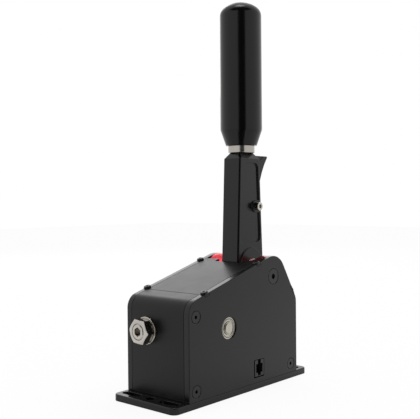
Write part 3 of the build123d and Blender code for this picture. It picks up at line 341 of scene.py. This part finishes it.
def finish(
    name, colour, roughness, metallic=0.0, specular=0.5, grain=GRAIN, depth=0.004 * MM,
    spread=0.05, worn=None, wear=0.0, dust=0.0, turned=None, coat=0.0
):
    """Material with grain, mottled gloss, rubbed edges, dust and, on turned pieces, rings."""
    material, shader = new_material(name)
    material.diffuse_color = (*colour, 1)
    tree = material.node_tree
    surface = place_group(tree, grain_group, {"Grain Size": grain})
    deep, pale = (tuple(channel * share for channel in colour) for share in TINT_SHARES)
    tint = mix_colours(tree, surface["Mottle"], (*deep, 1), (*pale, 1))
    if worn is not None:
        mask = place_group(tree, wear_group, {"Amount": wear})["Mask"]
        tint = mix_colours(tree, mask, tint, (*worn, 1))
    if dust:
        mask = place_group(tree, dust_group, {"Amount": dust})["Mask"]
        tint = mix_colours(tree, mask, tint, (*DUST_COLOUR, 1))
    tree.links.new(tint, shader.inputs["Base Color"])
    smooth = roughness - spread
    rough = roughness + spread
    gloss = map_range(tree, surface["Mottle"], *MOTTLE_RANGE, low=smooth, high=rough)
    tree.links.new(gloss, shader.inputs["Roughness"])
    height = surface["Height"]
    if turned is not None:
        centre, across = turned
        height = place_group(tree, turned_group, {"Centre": centre, "Across": across})["Height"]
    bump = add_node(tree, "ShaderNodeBump", {"Height": height, "Distance": depth, "Strength": 1.0})
    tree.links.new(bump.outputs["Normal"], shader.inputs["Normal"])
    shader.inputs["Metallic"].default_value = metallic
    shader.inputs["Specular IOR Level"].default_value = specular
    shader.inputs["Coat Weight"].default_value = coat
    return material


def node_centre(node):
    """Middle of a CAD node's box."""
    low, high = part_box(node)
    return (low + high) / 2


def turned_steel(name, node, axis, colour, roughness=0.2):
    """Steel with turning rings about a node's own axis."""
    return finish(
        name, colour, roughness, metallic=1.0, depth=0.0016 * MM, spread=0.03,
        turned=(node_centre(node), ACROSS[axis])
    )


def body_anodising(settings, name, roughness, specular):
    """Satin black anodising over blasted aluminium."""
    return finish(
        name, settings.body_black, roughness, specular=specular, grain=settings.grain,
        depth=0.003 * MM, spread=0.02, worn=(0.03, 0.03, 0.032), wear=0.3, dust=0.015
    )


def knob_anodising(settings):
    """Smoother black anodising of the knob."""
    return finish(
        "Smooth black anodising", settings.knob_black, roughness=0.19, specular=0.3,
        grain=settings.grain, depth=0.0005 * MM, spread=0.02
    )


def red_anodising(settings):
    """Red anodising of the pivot drums."""
    return finish(
        "Red anodising", settings.drum_red, roughness=0.32, metallic=1.0, depth=0.002 * MM,
        turned=(node_centre("pivot_drum_left"), ACROSS["Y"])
    )


def black_oxide(settings):
    """Black oxide of the screws."""
    return finish(
        "Black oxide", settings.oxide, roughness=0.28, specular=0.4, grain=settings.grain,
        depth=0.002 * MM, worn=(0.08, 0.077, 0.074), wear=0.3
    )


def simple_finishes():
    """Finishes of the pieces that mostly stay out of sight."""
    return {
        "machined steel": finish("Machined steel", (0.5, 0.5, 0.49), roughness=0.3, metallic=1.0),
        "spring wire": finish("Drawn spring wire", (0.33, 0.33, 0.34), roughness=0.28, metallic=1.0),
        "bronze": finish("Turned bronze", (0.6, 0.38, 0.16), roughness=0.32, metallic=1.0),
        "bumper rubber": finish(
            "Bumper rubber", (0.02, 0.02, 0.02), roughness=0.75, depth=0.01 * MM, dust=0.1
        ),
        "moulded black": finish(
            "Moulded black plastic", (0.006, 0.006, 0.006), roughness=0.45, depth=0.006 * MM
        ),
        "solder mask": finish("Green solder mask", (0.01, 0.12, 0.045), roughness=0.25, coat=0.4),
        "gilt contact": finish("Gilt contact", (0.95, 0.65, 0.25), roughness=0.18, metallic=1.0),
        "nickel": finish("Nickel plate", (0.7, 0.68, 0.64), roughness=0.15, metallic=1.0),
        "chip resin": finish("Chip resin", (0.012, 0.012, 0.013), roughness=0.55, depth=0.006 * MM),
    }


def all_finishes(settings):
    """Every finish under its plain name."""
    steel = settings.steel
    bearing = settings.bearing
    return {
        "body": body_anodising(settings, "Satin black anodising", roughness=0.22, specular=0.34),
        "cover": body_anodising(
            settings, "Satin black anodising of the covers", roughness=0.36, specular=0.27
        ),
        "knob": knob_anodising(settings),
        "red": red_anodising(settings),
        "oxide": black_oxide(settings),
        "collar": turned_steel("Turned collar steel", "knob_collar", "Z", settings.collar_steel),
        "nut": turned_steel("Turned nut steel", "lock_nut", "X", steel, roughness=0.14),
        "adjuster": turned_steel("Turned adjuster steel", "adjuster_screw", "X", steel),
        "shaft": turned_steel("Ground shaft steel", "cross_shaft", "Y", bearing),
        "bearing": turned_steel(
            "Bearing steel", "shaft_bearing_outer_rings", "Y", bearing, roughness=0.16
        ),
        **simple_finishes(),
    }


def finish_named(name):
    """Material for a plain name, with all of them made on the first call."""
    if not hasattr(finish_named, "made"):
        finish_named.made = all_finishes(bpy.context.scene.shifter_finish)
    return finish_named.made[name]


def welded(node):
    """CAD node's triangles joined, with its flat faces made whole."""
    source = nodes[node].data
    mesh = bpy.data.meshes.new(node)
    mesh.from_pydata(
        [vertex.co for vertex in source.vertices], [], [tuple(face.vertices) for face in source.polygons]
    )
    shape = bmesh.new()
    shape.from_mesh(mesh)
    bpy.data.meshes.remove(mesh)
    bmesh.ops.remove_doubles(shape, verts=shape.verts, dist=WELD)
    bmesh.ops.dissolve_degenerate(shape, edges=shape.edges, dist=WELD)
    bmesh.ops.dissolve_limit(shape, angle_limit=FLAT, verts=shape.verts, edges=shape.edges)
    return shape


def new_object(name, data):
    """Object for a mesh, a lamp or a camera, in the scene."""
    made = bpy.data.objects.new(name, data)
    bpy.context.scene.collection.objects.link(made)
    return made


def mesh_of(shape, name):
    """Mesh of a bmesh, which is freed."""
    mesh = bpy.data.meshes.new(name)
    shape.to_mesh(mesh)
    shape.free()
    return mesh


def break_edges(piece, width):
    """Adds the broken edges of a width."""
    bevel = piece.modifiers.new("Broken edges", "BEVEL")
    bevel.width = width
    bevel.segments = EDGE_SEGMENTS
    bevel.limit_method = "ANGLE"
    bevel.angle_limit = EDGE_ANGLE
    bevel.use_clamp_overlap = False
    bevel.miter_outer = "MITER_SHARP"


def even_normals(piece):
    """Adds normals weighted by area, so that flat faces shade flat."""
    weighted = piece.modifiers.new("Even normals", "WEIGHTED_NORMAL")
    weighted.keep_sharp = True
    weighted.weight = NORMAL_WEIGHT


def settle(piece):
    """Turns a piece with modifiers into a plain mesh."""
    depsgraph = bpy.context.evaluated_depsgraph_get()
    mesh = bpy.data.meshes.new_from_object(piece.evaluated_get(depsgraph), depsgraph=depsgraph)
    if not mesh.polygons:
        raise RuntimeError(f"{piece.name} came out empty")
    piece.modifiers.clear()
    piece.data = mesh
    return piece


def stand_in(piece, node, material):
    """Lets a finished piece stand for a CAD node."""
    piece.data.materials.clear()
    piece.data.materials.append(material)
    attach(piece, body_of_node[node])
    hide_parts(node)


def dress(node, finish_name, edge):
    """Stands a soft-edged copy of a CAD node in its place."""
    mesh = mesh_of(welded(node), f"{node}_finished")
    mesh.shade_smooth()
    piece = new_object(f"{node}_finished", mesh)
    break_edges(piece, edge)
    even_normals(piece)
    stand_in(settle(piece), node, finish_named(finish_name))


def paint_groove_shade(node, inner, outer):
    """Paints shade into the groove in a bearing's faces, between two radii from its axis along Y."""
    mesh = bpy.data.objects[f"{node}_finished"].data
    centre = node_centre(node)
    # The screws' black oxide finish serves here as painted shade on the groove's faces.
    mesh.materials.append(finish_named("oxide"))
    for face in mesh.polygons:
        corners = [mesh.vertices[index].co - centre for index in face.vertices]
        if all(inner < math.hypot(corner.x, corner.z) < outer for corner in corners):
            face.material_index = 1


def paint(node, finish_name):
    """Gives a CAD node that keeps its own mesh its material."""
    slots = nodes[node].material_slots
    if not slots:
        raise RuntimeError(f"{node} has no material slot")
    for slot in slots:
        slot.material = finish_named(finish_name)


def separate_solids(shape):
    """Vertices of each solid of a bmesh, in the mesh's own order."""
    found = set()
    solids = []
    for start in shape.verts:
        if start in found:
            continue
        found.add(start)
        solid = [start]
        # The list grows while it is walked, until the solid is complete.
        for vertex in solid:
            for edge in vertex.link_edges:
                other = edge.other_vert(vertex)
                if other not in found:
                    found.add(other)
                    solid.append(other)
        solids.append(solid)
    return solids


def screw_axis(solid):
    """Axis of a screw, pointing out of its head, and the middle of the head's face."""
    faces = dict.fromkeys(face for vertex in solid for face in vertex.link_faces)
    spread = sum(
        face.calc_area() * numpy.outer(numpy.array(face.normal), numpy.array(face.normal)) for face in faces
    )
    sizes, axes = numpy.linalg.eigh(spread)
    # The axis is the direction whose share of the faces stands apart from the other two.
    column = 0 if sizes[1] - sizes[0] > sizes[2] - sizes[1] else 2
    axis = axes[:, column]
    points = numpy.array([vertex.co for vertex in solid])
    along = points @ axis
    flat = points - numpy.outer(along, axis)
    centre = (flat.max(axis=0) + flat.min(axis=0)) / 2
    reach = numpy.linalg.norm(flat - centre, axis=1)
    widest = along[reach > reach.max() * RIM_SHARE].mean()
    if widest < (along.max() + along.min()) / 2:
        axis = -axis
        along = -along
    return Vector(axis.round(AXIS_DIGITS)), Vector(centre + axis * along.max())


def to_local(axis, head):
    """Matrix that brings a screw's head to the origin, facing up."""
    turn = axis.to_track_quat("Z", "Y").to_matrix().to_4x4()
    return turn.inverted() @ Matrix.Translation(-head)


def screw_tree():
    """Geometry nodes that set a screw at each point, turned at random about its axis."""
    tree, given, out = new_group(
        "Screw Set",
        "GeometryNodeTree",
        [
            ("Geometry", "NodeSocketGeometry", None),
            ("Screw", "NodeSocketObject", None),
            ("Twist", "NodeSocketFloat", math.tau),
            ("Seed", "NodeSocketInt", 0),
            ("Finish", "NodeSocketMaterial", None),
        ],
        [("Geometry", "NodeSocketGeometry")],
    )
    screw = add_node(tree, "GeometryNodeObjectInfo", {"Object": given["Screw"]})
    heading = add_node(
        tree, "GeometryNodeInputNamedAttribute", {"Name": "heading"}, data_type="FLOAT_VECTOR"
    )
    facing = add_node(
        tree, "FunctionNodeAlignRotationToVector", {"Vector": heading.outputs["Attribute"]}, axis="Z"
    )
    turn = add_node(tree, "FunctionNodeRandomValue", {"Max": given["Twist"], "Seed": given["Seed"]})
    twist = add_node(tree, "FunctionNodeAxisAngleToRotation", {"Axis": (0, 0, 1), "Angle": turn.outputs[1]})
    rotation = add_node(
        tree,
        "FunctionNodeRotateRotation",
        {"Rotation": facing.outputs[0], "Rotate By": twist.outputs[0]},
        rotation_space="LOCAL",
    )
    copies = add_node(
        tree,
        "GeometryNodeInstanceOnPoints",
        {"Points": given["Geometry"], "Instance": screw.outputs["Geometry"],
         "Rotation": rotation.outputs[0]},
    )
    real = add_node(tree, "GeometryNodeRealizeInstances", {"Geometry": copies.outputs[0]})
    done = add_node(
        tree, "GeometryNodeSetMaterial", {"Geometry": real.outputs[0], "Material": given["Finish"]}
    )
    tree.links.new(done.outputs[0], out["Geometry"])
    return tree


def coil_tree():
    """Geometry nodes that wind a spring from its foot, along a direction."""
    tree, given, out = new_group(
        "Coil Spring",
        "GeometryNodeTree",
        [
            ("Foot", "NodeSocketVector", (0, 0, 0)),
            ("Facing", "NodeSocketVector", (0, 0, 1)),
            ("Coil Radius", "NodeSocketFloat", 2 * MM),
            ("Length", "NodeSocketFloat", 10 * MM),
            ("Turns", "NodeSocketFloat", 6.0),
            ("Wire Radius", "NodeSocketFloat", 0.3 * MM),
            ("Sides", "NodeSocketInt", 10),
            ("Finish", "NodeSocketMaterial", None),
        ],
        [("Geometry", "NodeSocketGeometry")],
    )
    line = add_node(
        tree,
        "GeometryNodeCurveSpiral",
        {"Resolution": COIL_STEPS, "Rotations": given["Turns"], "Start Radius": given["Coil Radius"],
         "End Radius": given["Coil Radius"], "Height": given["Length"]},
    )
    section = add_node(
        tree,
        "GeometryNodeCurvePrimitiveCircle",
        {"Resolution": given["Sides"], "Radius": given["Wire Radius"]},
    )
    wire = add_node(
        tree,
        "GeometryNodeCurveToMesh",
        {"Curve": line.outputs[0], "Profile Curve": section.outputs[0], "Fill Caps": True},
    )
    facing = add_node(tree, "FunctionNodeAlignRotationToVector", {"Vector": given["Facing"]}, axis="Z")
    placed = add_node(
        tree,
        "GeometryNodeTransform",
        {"Geometry": wire.outputs[0], "Translation": given["Foot"], "Rotation": facing.outputs[0]},
    )
    real = add_node(tree, "GeometryNodeRealizeInstances", {"Geometry": placed.outputs[0]})
    done = add_node(
        tree, "GeometryNodeSetMaterial", {"Geometry": real.outputs[0], "Material": given["Finish"]}
    )
    tree.links.new(done.outputs[0], out["Geometry"])
    return tree


def add_tree(piece, maker, values):
    """Adds a geometry nodes modifier with its inputs set by their identifiers."""
    modifier = piece.modifiers.new(piece.name, "NODES")
    tree = shared_group(maker)
    modifier.node_group = tree
    for item in tree.interface.items_tree:
        if item.item_type == "SOCKET" and item.in_out == "INPUT" and item.name in values:
            modifier[item.identifier] = values[item.name]


def dress_screws(node, finish_name):
    """Sets a soft-edged screw at each of a node's screws, each turned its own way."""
    settings = bpy.context.scene.shifter_screws
    shape = welded(node)
    solids = separate_solids(shape)
    axes = [screw_axis(solid) for solid in solids]
    axis, head = axes[0]
    bmesh.ops.delete(shape, geom=[vertex for solid in solids[1:] for vertex in solid], context="VERTS")
    bmesh.ops.transform(shape, matrix=to_local(axis, head), verts=shape.verts)
    mesh = mesh_of(shape, f"{node}_pattern")
    mesh.shade_smooth()
    pattern = new_object(f"{node}_pattern", mesh)
    break_edges(pattern, bpy.context.scene.shifter_finish.screw_edge)
    settle(pattern)
    points = bpy.data.meshes.new(f"{node}_finished")
    points.from_pydata([head for axis, head in axes], [], [])
    heading = points.attributes.new("heading", "FLOAT_VECTOR", "POINT")
    heading.data.foreach_set("vector", [value for axis, head in axes for value in axis])
    piece = new_object(f"{node}_finished", points)
    material = finish_named(finish_name)
    add_tree(
        piece,
        screw_tree,
        {"Screw": pattern, "Twist": settings.twist, "Seed": settings.seed + len(node), "Finish": material},
    )
    even_normals(piece)
    stand_in(settle(piece), node, material)
    bpy.data.objects.remove(pattern)


def dress_spring(node, facing, carried_end):
    """Winds a coil in the place of a CAD sleeve.

    carried_end names the end that its body carries: 0 is the low end and 1 the high one.
    """
    settings = bpy.context.scene.shifter_coils
    low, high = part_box(node)
    middle = (low + high) / 2
    axis = "XYZ".index(facing)
    side = (axis + 1) % 3
    radius = (high[side] - low[side]) / 2
    wire = radius * settings.wire_share / 2
    foot = middle.copy()
    foot[axis] = low[axis] + wire
    direction = Vector((0, 0, 0))
    direction[axis] = 1
    piece = new_object(f"{node}_finished", bpy.data.meshes.new(f"{node}_finished"))
    material = finish_named("spring wire")
    add_tree(
        piece,
        coil_tree,
        {"Foot": foot, "Facing": direction, "Coil Radius": radius - wire,
         "Length": high[axis] - low[axis] - 2 * wire, "Turns": settings.turns, "Wire Radius": wire,
         "Sides": settings.sides, "Finish": material},
    )
    coil = settle(piece)
    stand_in(coil, node, material)
    coil.data.shade_smooth()
    anchor = middle.copy()
    anchor[axis] = (low, high)[carried_end][axis]
    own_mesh(coil)


class SHIFTER_OT_plates(bpy.types.Operator):
    """Finish the base, side plates, covers and blocks"""

    bl_idname = "shifter.plates"
    bl_label = "Plates and Covers"

    def execute(self, context):
        edge = context.scene.shifter_finish.plate_edge
        for node in ("base_plate", "side_plate_left", "side_plate_right", "rear_crossbar"):
            dress(node, "body", edge)
        for node in ("front_block", "top_cover", "rear_cover"):
            dress(node, "cover", edge)
        return {"FINISHED"}


class SHIFTER_OT_screws(bpy.types.Operator):
    """Set the screws, each with its socket turned its own way"""

    bl_idname = "shifter.screws"
    bl_label = "Screws"

    def execute(self, context):
        for node in ("side_plate_screws", "pivot_screws", "top_cover_screws", "rear_cover_screws",
                     "base_screws", "stop_bracket_screws", "board_screws"):
            dress_screws(node, "oxide")
        paint("set_screws", "oxide")
        return {"FINISHED"}


class SHIFTER_OT_lever(bpy.types.Operator):
    """Finish the lever and its pivot screw for the trigger"""

    bl_idname = "shifter.lever"
    bl_label = "Lever"

    def execute(self, context):
        settings = context.scene.shifter_finish
        dress("lever_body", "body", settings.plate_edge)
        dress("trigger_screw", "nut", settings.screw_edge)
        paint("knob_stud", "machined steel")
        return {"FINISHED"}


class SHIFTER_OT_knob(bpy.types.Operator):
    """Finish the knob and its bright collar"""

    bl_idname = "shifter.knob"
    bl_label = "Knob and Collar"

    def execute(self, context):
        edge = context.scene.shifter_finish.part_edge
        dress("knob", "knob", edge)
        dress("knob_collar", "collar", edge)
        return {"FINISHED"}


class SHIFTER_OT_trigger(bpy.types.Operator):
    """Finish the trigger and the lockout rod that it lifts"""

    bl_idname = "shifter.trigger"
    bl_label = "Trigger and Lockout"

    def execute(self, context):
        edge = context.scene.shifter_finish.part_edge
        dress("trigger", "body", edge)
        for node in ("lockout_rod", "rod_cross_pin", "gate_ring"):
            paint(node, "machined steel")
        return {"FINISHED"}


class SHIFTER_OT_pivot(bpy.types.Operator):
    """Finish the red drums, the washers, the axle and its bearings"""

    bl_idname = "shifter.pivot"
    bl_label = "Lever Pivot"

    def execute(self, context):
        edge = context.scene.shifter_finish.part_edge
        for node in ("pivot_drum_left", "pivot_drum_right"):
            dress(node, "red", edge)
        dress("pivot_washers", "nickel", edge)
        paint("pivot_axle", "machined steel")
        for node in ("pivot_bearing_inner_rings", "pivot_bearing_outer_rings"):
            paint(node, "bearing")
        return {"FINISHED"}


class SHIFTER_OT_adjuster(bpy.types.Operator):
    """Finish the adjuster, its nut and washer, and the plunger"""

    bl_idname = "shifter.adjuster"
    bl_label = "Adjuster"

    def execute(self, context):
        edge = context.scene.shifter_finish.part_edge
        dress("lock_nut", "nut", edge)
        dress("flange_washer", "nut", edge)
        dress("adjuster_screw", "adjuster", edge)
        for node in ("plunger", "spring_seat"):
            paint(node, "machined steel")
        return {"FINISHED"}


class SHIFTER_OT_shaft(bpy.types.Operator):
    """Finish the cross shaft with its bearings, crank, cam and links"""

    bl_idname = "shifter.shaft"
    bl_label = "Cross Shaft and Links"

    def execute(self, context):
        edge = context.scene.shifter_finish.part_edge
        dress("cross_shaft", "shaft", edge)
        for node in ("shaft_bearing_outer_rings", "shaft_bearing_inner_rings"):
            dress(node, "bearing", edge / 2)
        # Painted shade in the outer rings' face groove.
        paint_groove_shade("shaft_bearing_outer_rings", inner=6.5 * MM, outer=7.1 * MM)
        for node in ("crank", "detent_cam", "link_plate_left", "link_plate_right"):
            dress(node, "machined steel", edge)
        for node in ("shaft_spacers", "link_bushes"):
            paint(node, "bronze")
        for node in ("arm_pin", "arm_pin_clips", "crank_pin", "crank_pin_clips"):
            paint(node, "machined steel")
        paint("magnet", "nickel")
        return {"FINISHED"}


class SHIFTER_OT_stops(bpy.types.Operator):
    """Finish the stop bracket and its rubber stops"""

    bl_idname = "shifter.stops"
    bl_label = "Stops"

    def execute(self, context):
        dress("stop_bracket", "machined steel", context.scene.shifter_finish.part_edge)
        paint("bump_stops", "bumper rubber")
        return {"FINISHED"}


class SHIFTER_OT_springs(bpy.types.Operator):
    """Wind the coils of the three springs"""

    bl_idname = "shifter.springs"
    bl_label = "Springs"

    def execute(self, context):
        dress_spring("main_spring", "X", carried_end=0)
        dress_spring("trigger_spring", "X", carried_end=1)
        dress_spring("rod_spring", "Z", carried_end=0)
        return {"FINISHED"}


class SHIFTER_OT_electronics(bpy.types.Operator):
    """Finish the circuit board, its parts and the data socket"""

    bl_idname = "shifter.electronics"
    bl_label = "Circuit Board and Socket"

    def execute(self, context):
        dress("socket_housing", "moulded black", context.scene.shifter_finish.part_edge / 2)
        paint("circuit_board", "solder mask")
        paint("board_standoffs", "nickel")
        paint("socket_contacts", "gilt contact")
        for node in ("hall_sensors", "processor_chip"):
            paint(node, "chip resin")
        return {"FINISHED"}


def background_rays(tree):
    """One for the rays that show the background: camera, glossy and transmission rays."""
    path = add_node(tree, "ShaderNodeLightPath").outputs
    seen = math_node(tree, "ADD", path["Is Camera Ray"], path["Is Glossy Ray"])
    return math_node(tree, "ADD", seen, path["Is Transmission Ray"], clamp=True)


def white_world(context, ambient):
    """White surroundings for what is seen, and a plain level of light."""
    world = bpy.data.worlds.new("White surroundings")
    context.scene.world = world
    world.use_nodes = True
    tree = world.node_tree
    background = tree.nodes["Background"]
    background.inputs["Color"].default_value = (1, 1, 1, 1)
    strength = map_range(tree, background_rays(tree), low=ambient)
    tree.links.new(strength, background.inputs["Strength"])


def white_floor(white_share):
    """Pale floor that keeps the shadow, mostly white to the camera and as it is lit to reflections."""
    mesh = bpy.data.meshes.new("studio_floor")
    height = cad_low.z - FLOOR_DROP
    corners = [(x * FLOOR_REACH, y * FLOOR_REACH, height) for x, y in ((-1, -1), (1, -1), (1, 1), (-1, 1))]
    mesh.from_pydata(corners, [], [(0, 1, 2, 3)])
    floor = new_object("studio_floor", mesh)
    material, shader = new_material("Pale floor")
    tree = material.node_tree
    shader.inputs["Base Color"].default_value = (*FLOOR_GREY, 1)
    shader.inputs["Roughness"].default_value = FLOOR_ROUGHNESS
    shader.inputs["Specular IOR Level"].default_value = 0.0
    to_camera = add_node(tree, "ShaderNodeLightPath").outputs["Is Camera Ray"]
    share = map_range(tree, to_camera, low=white_share * REFLECTED_SHARE, high=white_share)
    seen = math_node(tree, "MULTIPLY", background_rays(tree), share)
    white = add_node(tree, "ShaderNodeEmission", {"Color": (1, 1, 1, 1), "Strength": 1.0})
    mixed = add_node(tree, "ShaderNodeMixShader", {0: seen, 1: shader.outputs[0], 2: white.outputs[0]})
    tree.links.new(mixed.outputs[0], tree.nodes["Material Output"].inputs["Surface"])
    mesh.materials.append(material)


def soft_box(name, place, aim, size, energy):
    """Square lamp aimed at a point."""
    data = bpy.data.lights.new(name, "AREA")
    data.shape = "SQUARE"
    data.size = size
    data.energy = energy
    lamp = new_object(name, data)
    lamp.location = place
    lamp.rotation_euler = (Vector(aim) - Vector(place)).to_track_quat("-Z", "Y").to_euler()


def soft_sun(name, direction, spread, strength):
    """Wide, soft sun from a direction, which lights what is dull and leaves reflections clean."""
    data = bpy.data.lights.new(name, "SUN")
    data.angle = spread
    data.energy = strength
    lamp = new_object(name, data)
    lamp.rotation_euler = Vector(direction).to_track_quat("Z", "Y").to_euler()
    lamp.visible_glossy = False


def dim_card(name, corners, material):
    """Dark card that only reflections show."""
    mesh = bpy.data.meshes.new(name)
    mesh.from_pydata(corners, [], [(0, 1, 2, 3)])
    mesh.materials.append(material)
    card = new_object(name, mesh)
    card.visible_camera = False
    card.visible_diffuse = False
    card.visible_shadow = False


def dim_material(level):
    """Dark grey that gives off a low, even level and reflects nothing."""
    material, shader = new_material("Dim card")
    shader.inputs["Base Color"].default_value = (0, 0, 0, 1)
    shader.inputs["Specular IOR Level"].default_value = 0.0
    shader.inputs["Emission Color"].default_value = (1, 1, 1, 1)
    shader.inputs["Emission Strength"].default_value = level
    return material


def dark_surroundings(settings):
    """Dark cards behind the camera, over it and on the floor, which the satin blacks mirror."""
    sight = Vector((math.cos(settings.heading), math.sin(settings.heading), 0))
    up = Vector((0, 0, 1))
    right = sight.cross(up)
    material = dim_material(settings.card_level)
    far = 1.3
    top = 1.1
    left_end, right_end = -0.37, 0.57
    mat_near, mat_left, mat_right = 0.125, -0.065, 0.03
    mat_height = cad_low.z - MAT_DROP
    ceiling_near, ceiling_reach = 0.25, 1.0
    standing = [(left_end, far, 0), (right_end, far, 0), (right_end, far, top), (left_end, far, top)]
    lying = [(mat_left, mat_near, mat_height), (mat_right, mat_near, mat_height),
             (right_end, far, mat_height), (left_end, far, mat_height)]
    hanging = [(-ceiling_reach, ceiling_near, top), (ceiling_reach, ceiling_near, top),
               (ceiling_reach, far, top), (-ceiling_reach, far, top)]
    for name, corners in (("dark_card", standing), ("dark_mat", lying), ("dark_ceiling", hanging)):
        places = [right * sideways - sight * away + up * height for sideways, away, height in corners]
        dim_card(name, places, material)


def photo_camera(context, settings):
    """Camera at the photograph's place and angle."""
    sight = Vector((
        math.cos(settings.rise) * math.cos(settings.heading),
        math.cos(settings.rise) * math.sin(settings.heading),
        math.sin(settings.rise),
    ))
    level = sight.cross(Vector((0, 0, 1))).normalized()
    upright = level.cross(sight)
    right = level * math.cos(settings.roll) + upright * math.sin(settings.roll)
    up = upright * math.cos(settings.roll) - level * math.sin(settings.roll)
    turn = Matrix((right, up, -sight)).transposed().to_4x4()
    data = bpy.data.cameras.new("photo_camera")
    data.sensor_fit = "HORIZONTAL"
    data.sensor_width = SENSOR_WIDTH
    data.lens = settings.lens
    camera = new_object("photo_camera", data)
    camera.matrix_world = Matrix.Translation(settings.place) @ turn
    context.scene.camera = camera


class SHIFTER_OT_stage(bpy.types.Operator):
    """Set up the white studio and the camera"""

    bl_idname = "shifter.stage"
    bl_label = "Studio and Camera"

    def execute(self, context):
        settings = context.scene.shifter_stage
        white_world(context, settings.ambient)
        white_floor(settings.white_share)
        soft_box("rear_box", place=(0.83, 1.0, 0.83), aim=(0, 0, 0.08), size=0.9, energy=3.0)
        soft_box("overhead_box", place=(0.0, 0.0, 1.2), aim=(0, 0, 0), size=0.4, energy=2.2)
        soft_sun("rear_sun", direction=(0.7, -0.1, 0.9), spread=math.radians(35), strength=0.9)
        dark_surroundings(settings)
        photo_camera(context, settings)
        context.scene.view_settings.view_transform = "Standard"
        return {"FINISHED"}


class SHIFTER_PT_panel(bpy.types.Panel):
    """Lists the shifter's steps and settings"""

    bl_idname = "SHIFTER_PT_panel"
    bl_label = "Gear Shifter"
    bl_space_type = "VIEW_3D"
    bl_region_type = "UI"
    bl_category = "Shifter"

    def draw(self, context):
        for operator in OPERATORS:
            self.layout.operator(operator.bl_idname)
        for name in SETTINGS:
            box = self.layout.box()
            settings = getattr(context.scene, name)
            for label in settings.__annotations__:
                box.prop(settings, label)


SETTINGS = {
    "shifter_finish": ShifterFinishSettings,
    "shifter_coils": ShifterCoilSettings,
    "shifter_screws": ShifterScrewSettings,
    "shifter_stage": ShifterStageSettings,
}
OPERATORS = (
    SHIFTER_OT_plates,
    SHIFTER_OT_screws,
    SHIFTER_OT_lever,
    SHIFTER_OT_knob,
    SHIFTER_OT_trigger,
    SHIFTER_OT_pivot,
    SHIFTER_OT_adjuster,
    SHIFTER_OT_shaft,
    SHIFTER_OT_stops,
    SHIFTER_OT_springs,
    SHIFTER_OT_electronics,
    SHIFTER_OT_stage,
)


def register():
    """Registers the settings, the operators and the panel."""
    for name, settings in SETTINGS.items():
        bpy.utils.register_class(settings)
        setattr(bpy.types.Scene, name, PointerProperty(type=settings))
    for operator in OPERATORS:
        bpy.utils.register_class(operator)
    bpy.utils.register_class(SHIFTER_PT_panel)


def unregister():
    """Takes away what register adds."""
    bpy.utils.unregister_class(SHIFTER_PT_panel)
    for operator in reversed(OPERATORS):
        bpy.utils.unregister_class(operator)
    for name, settings in SETTINGS.items():
        delattr(bpy.types.Scene, name)
        bpy.utils.unregister_class(settings)


def main():
    """Runs every step in order."""
    register()
    for operator in OPERATORS:
        group, name = operator.bl_idname.split(".")
        getattr(getattr(bpy.ops, group), name)()


if __name__ == "__main__":
    main()
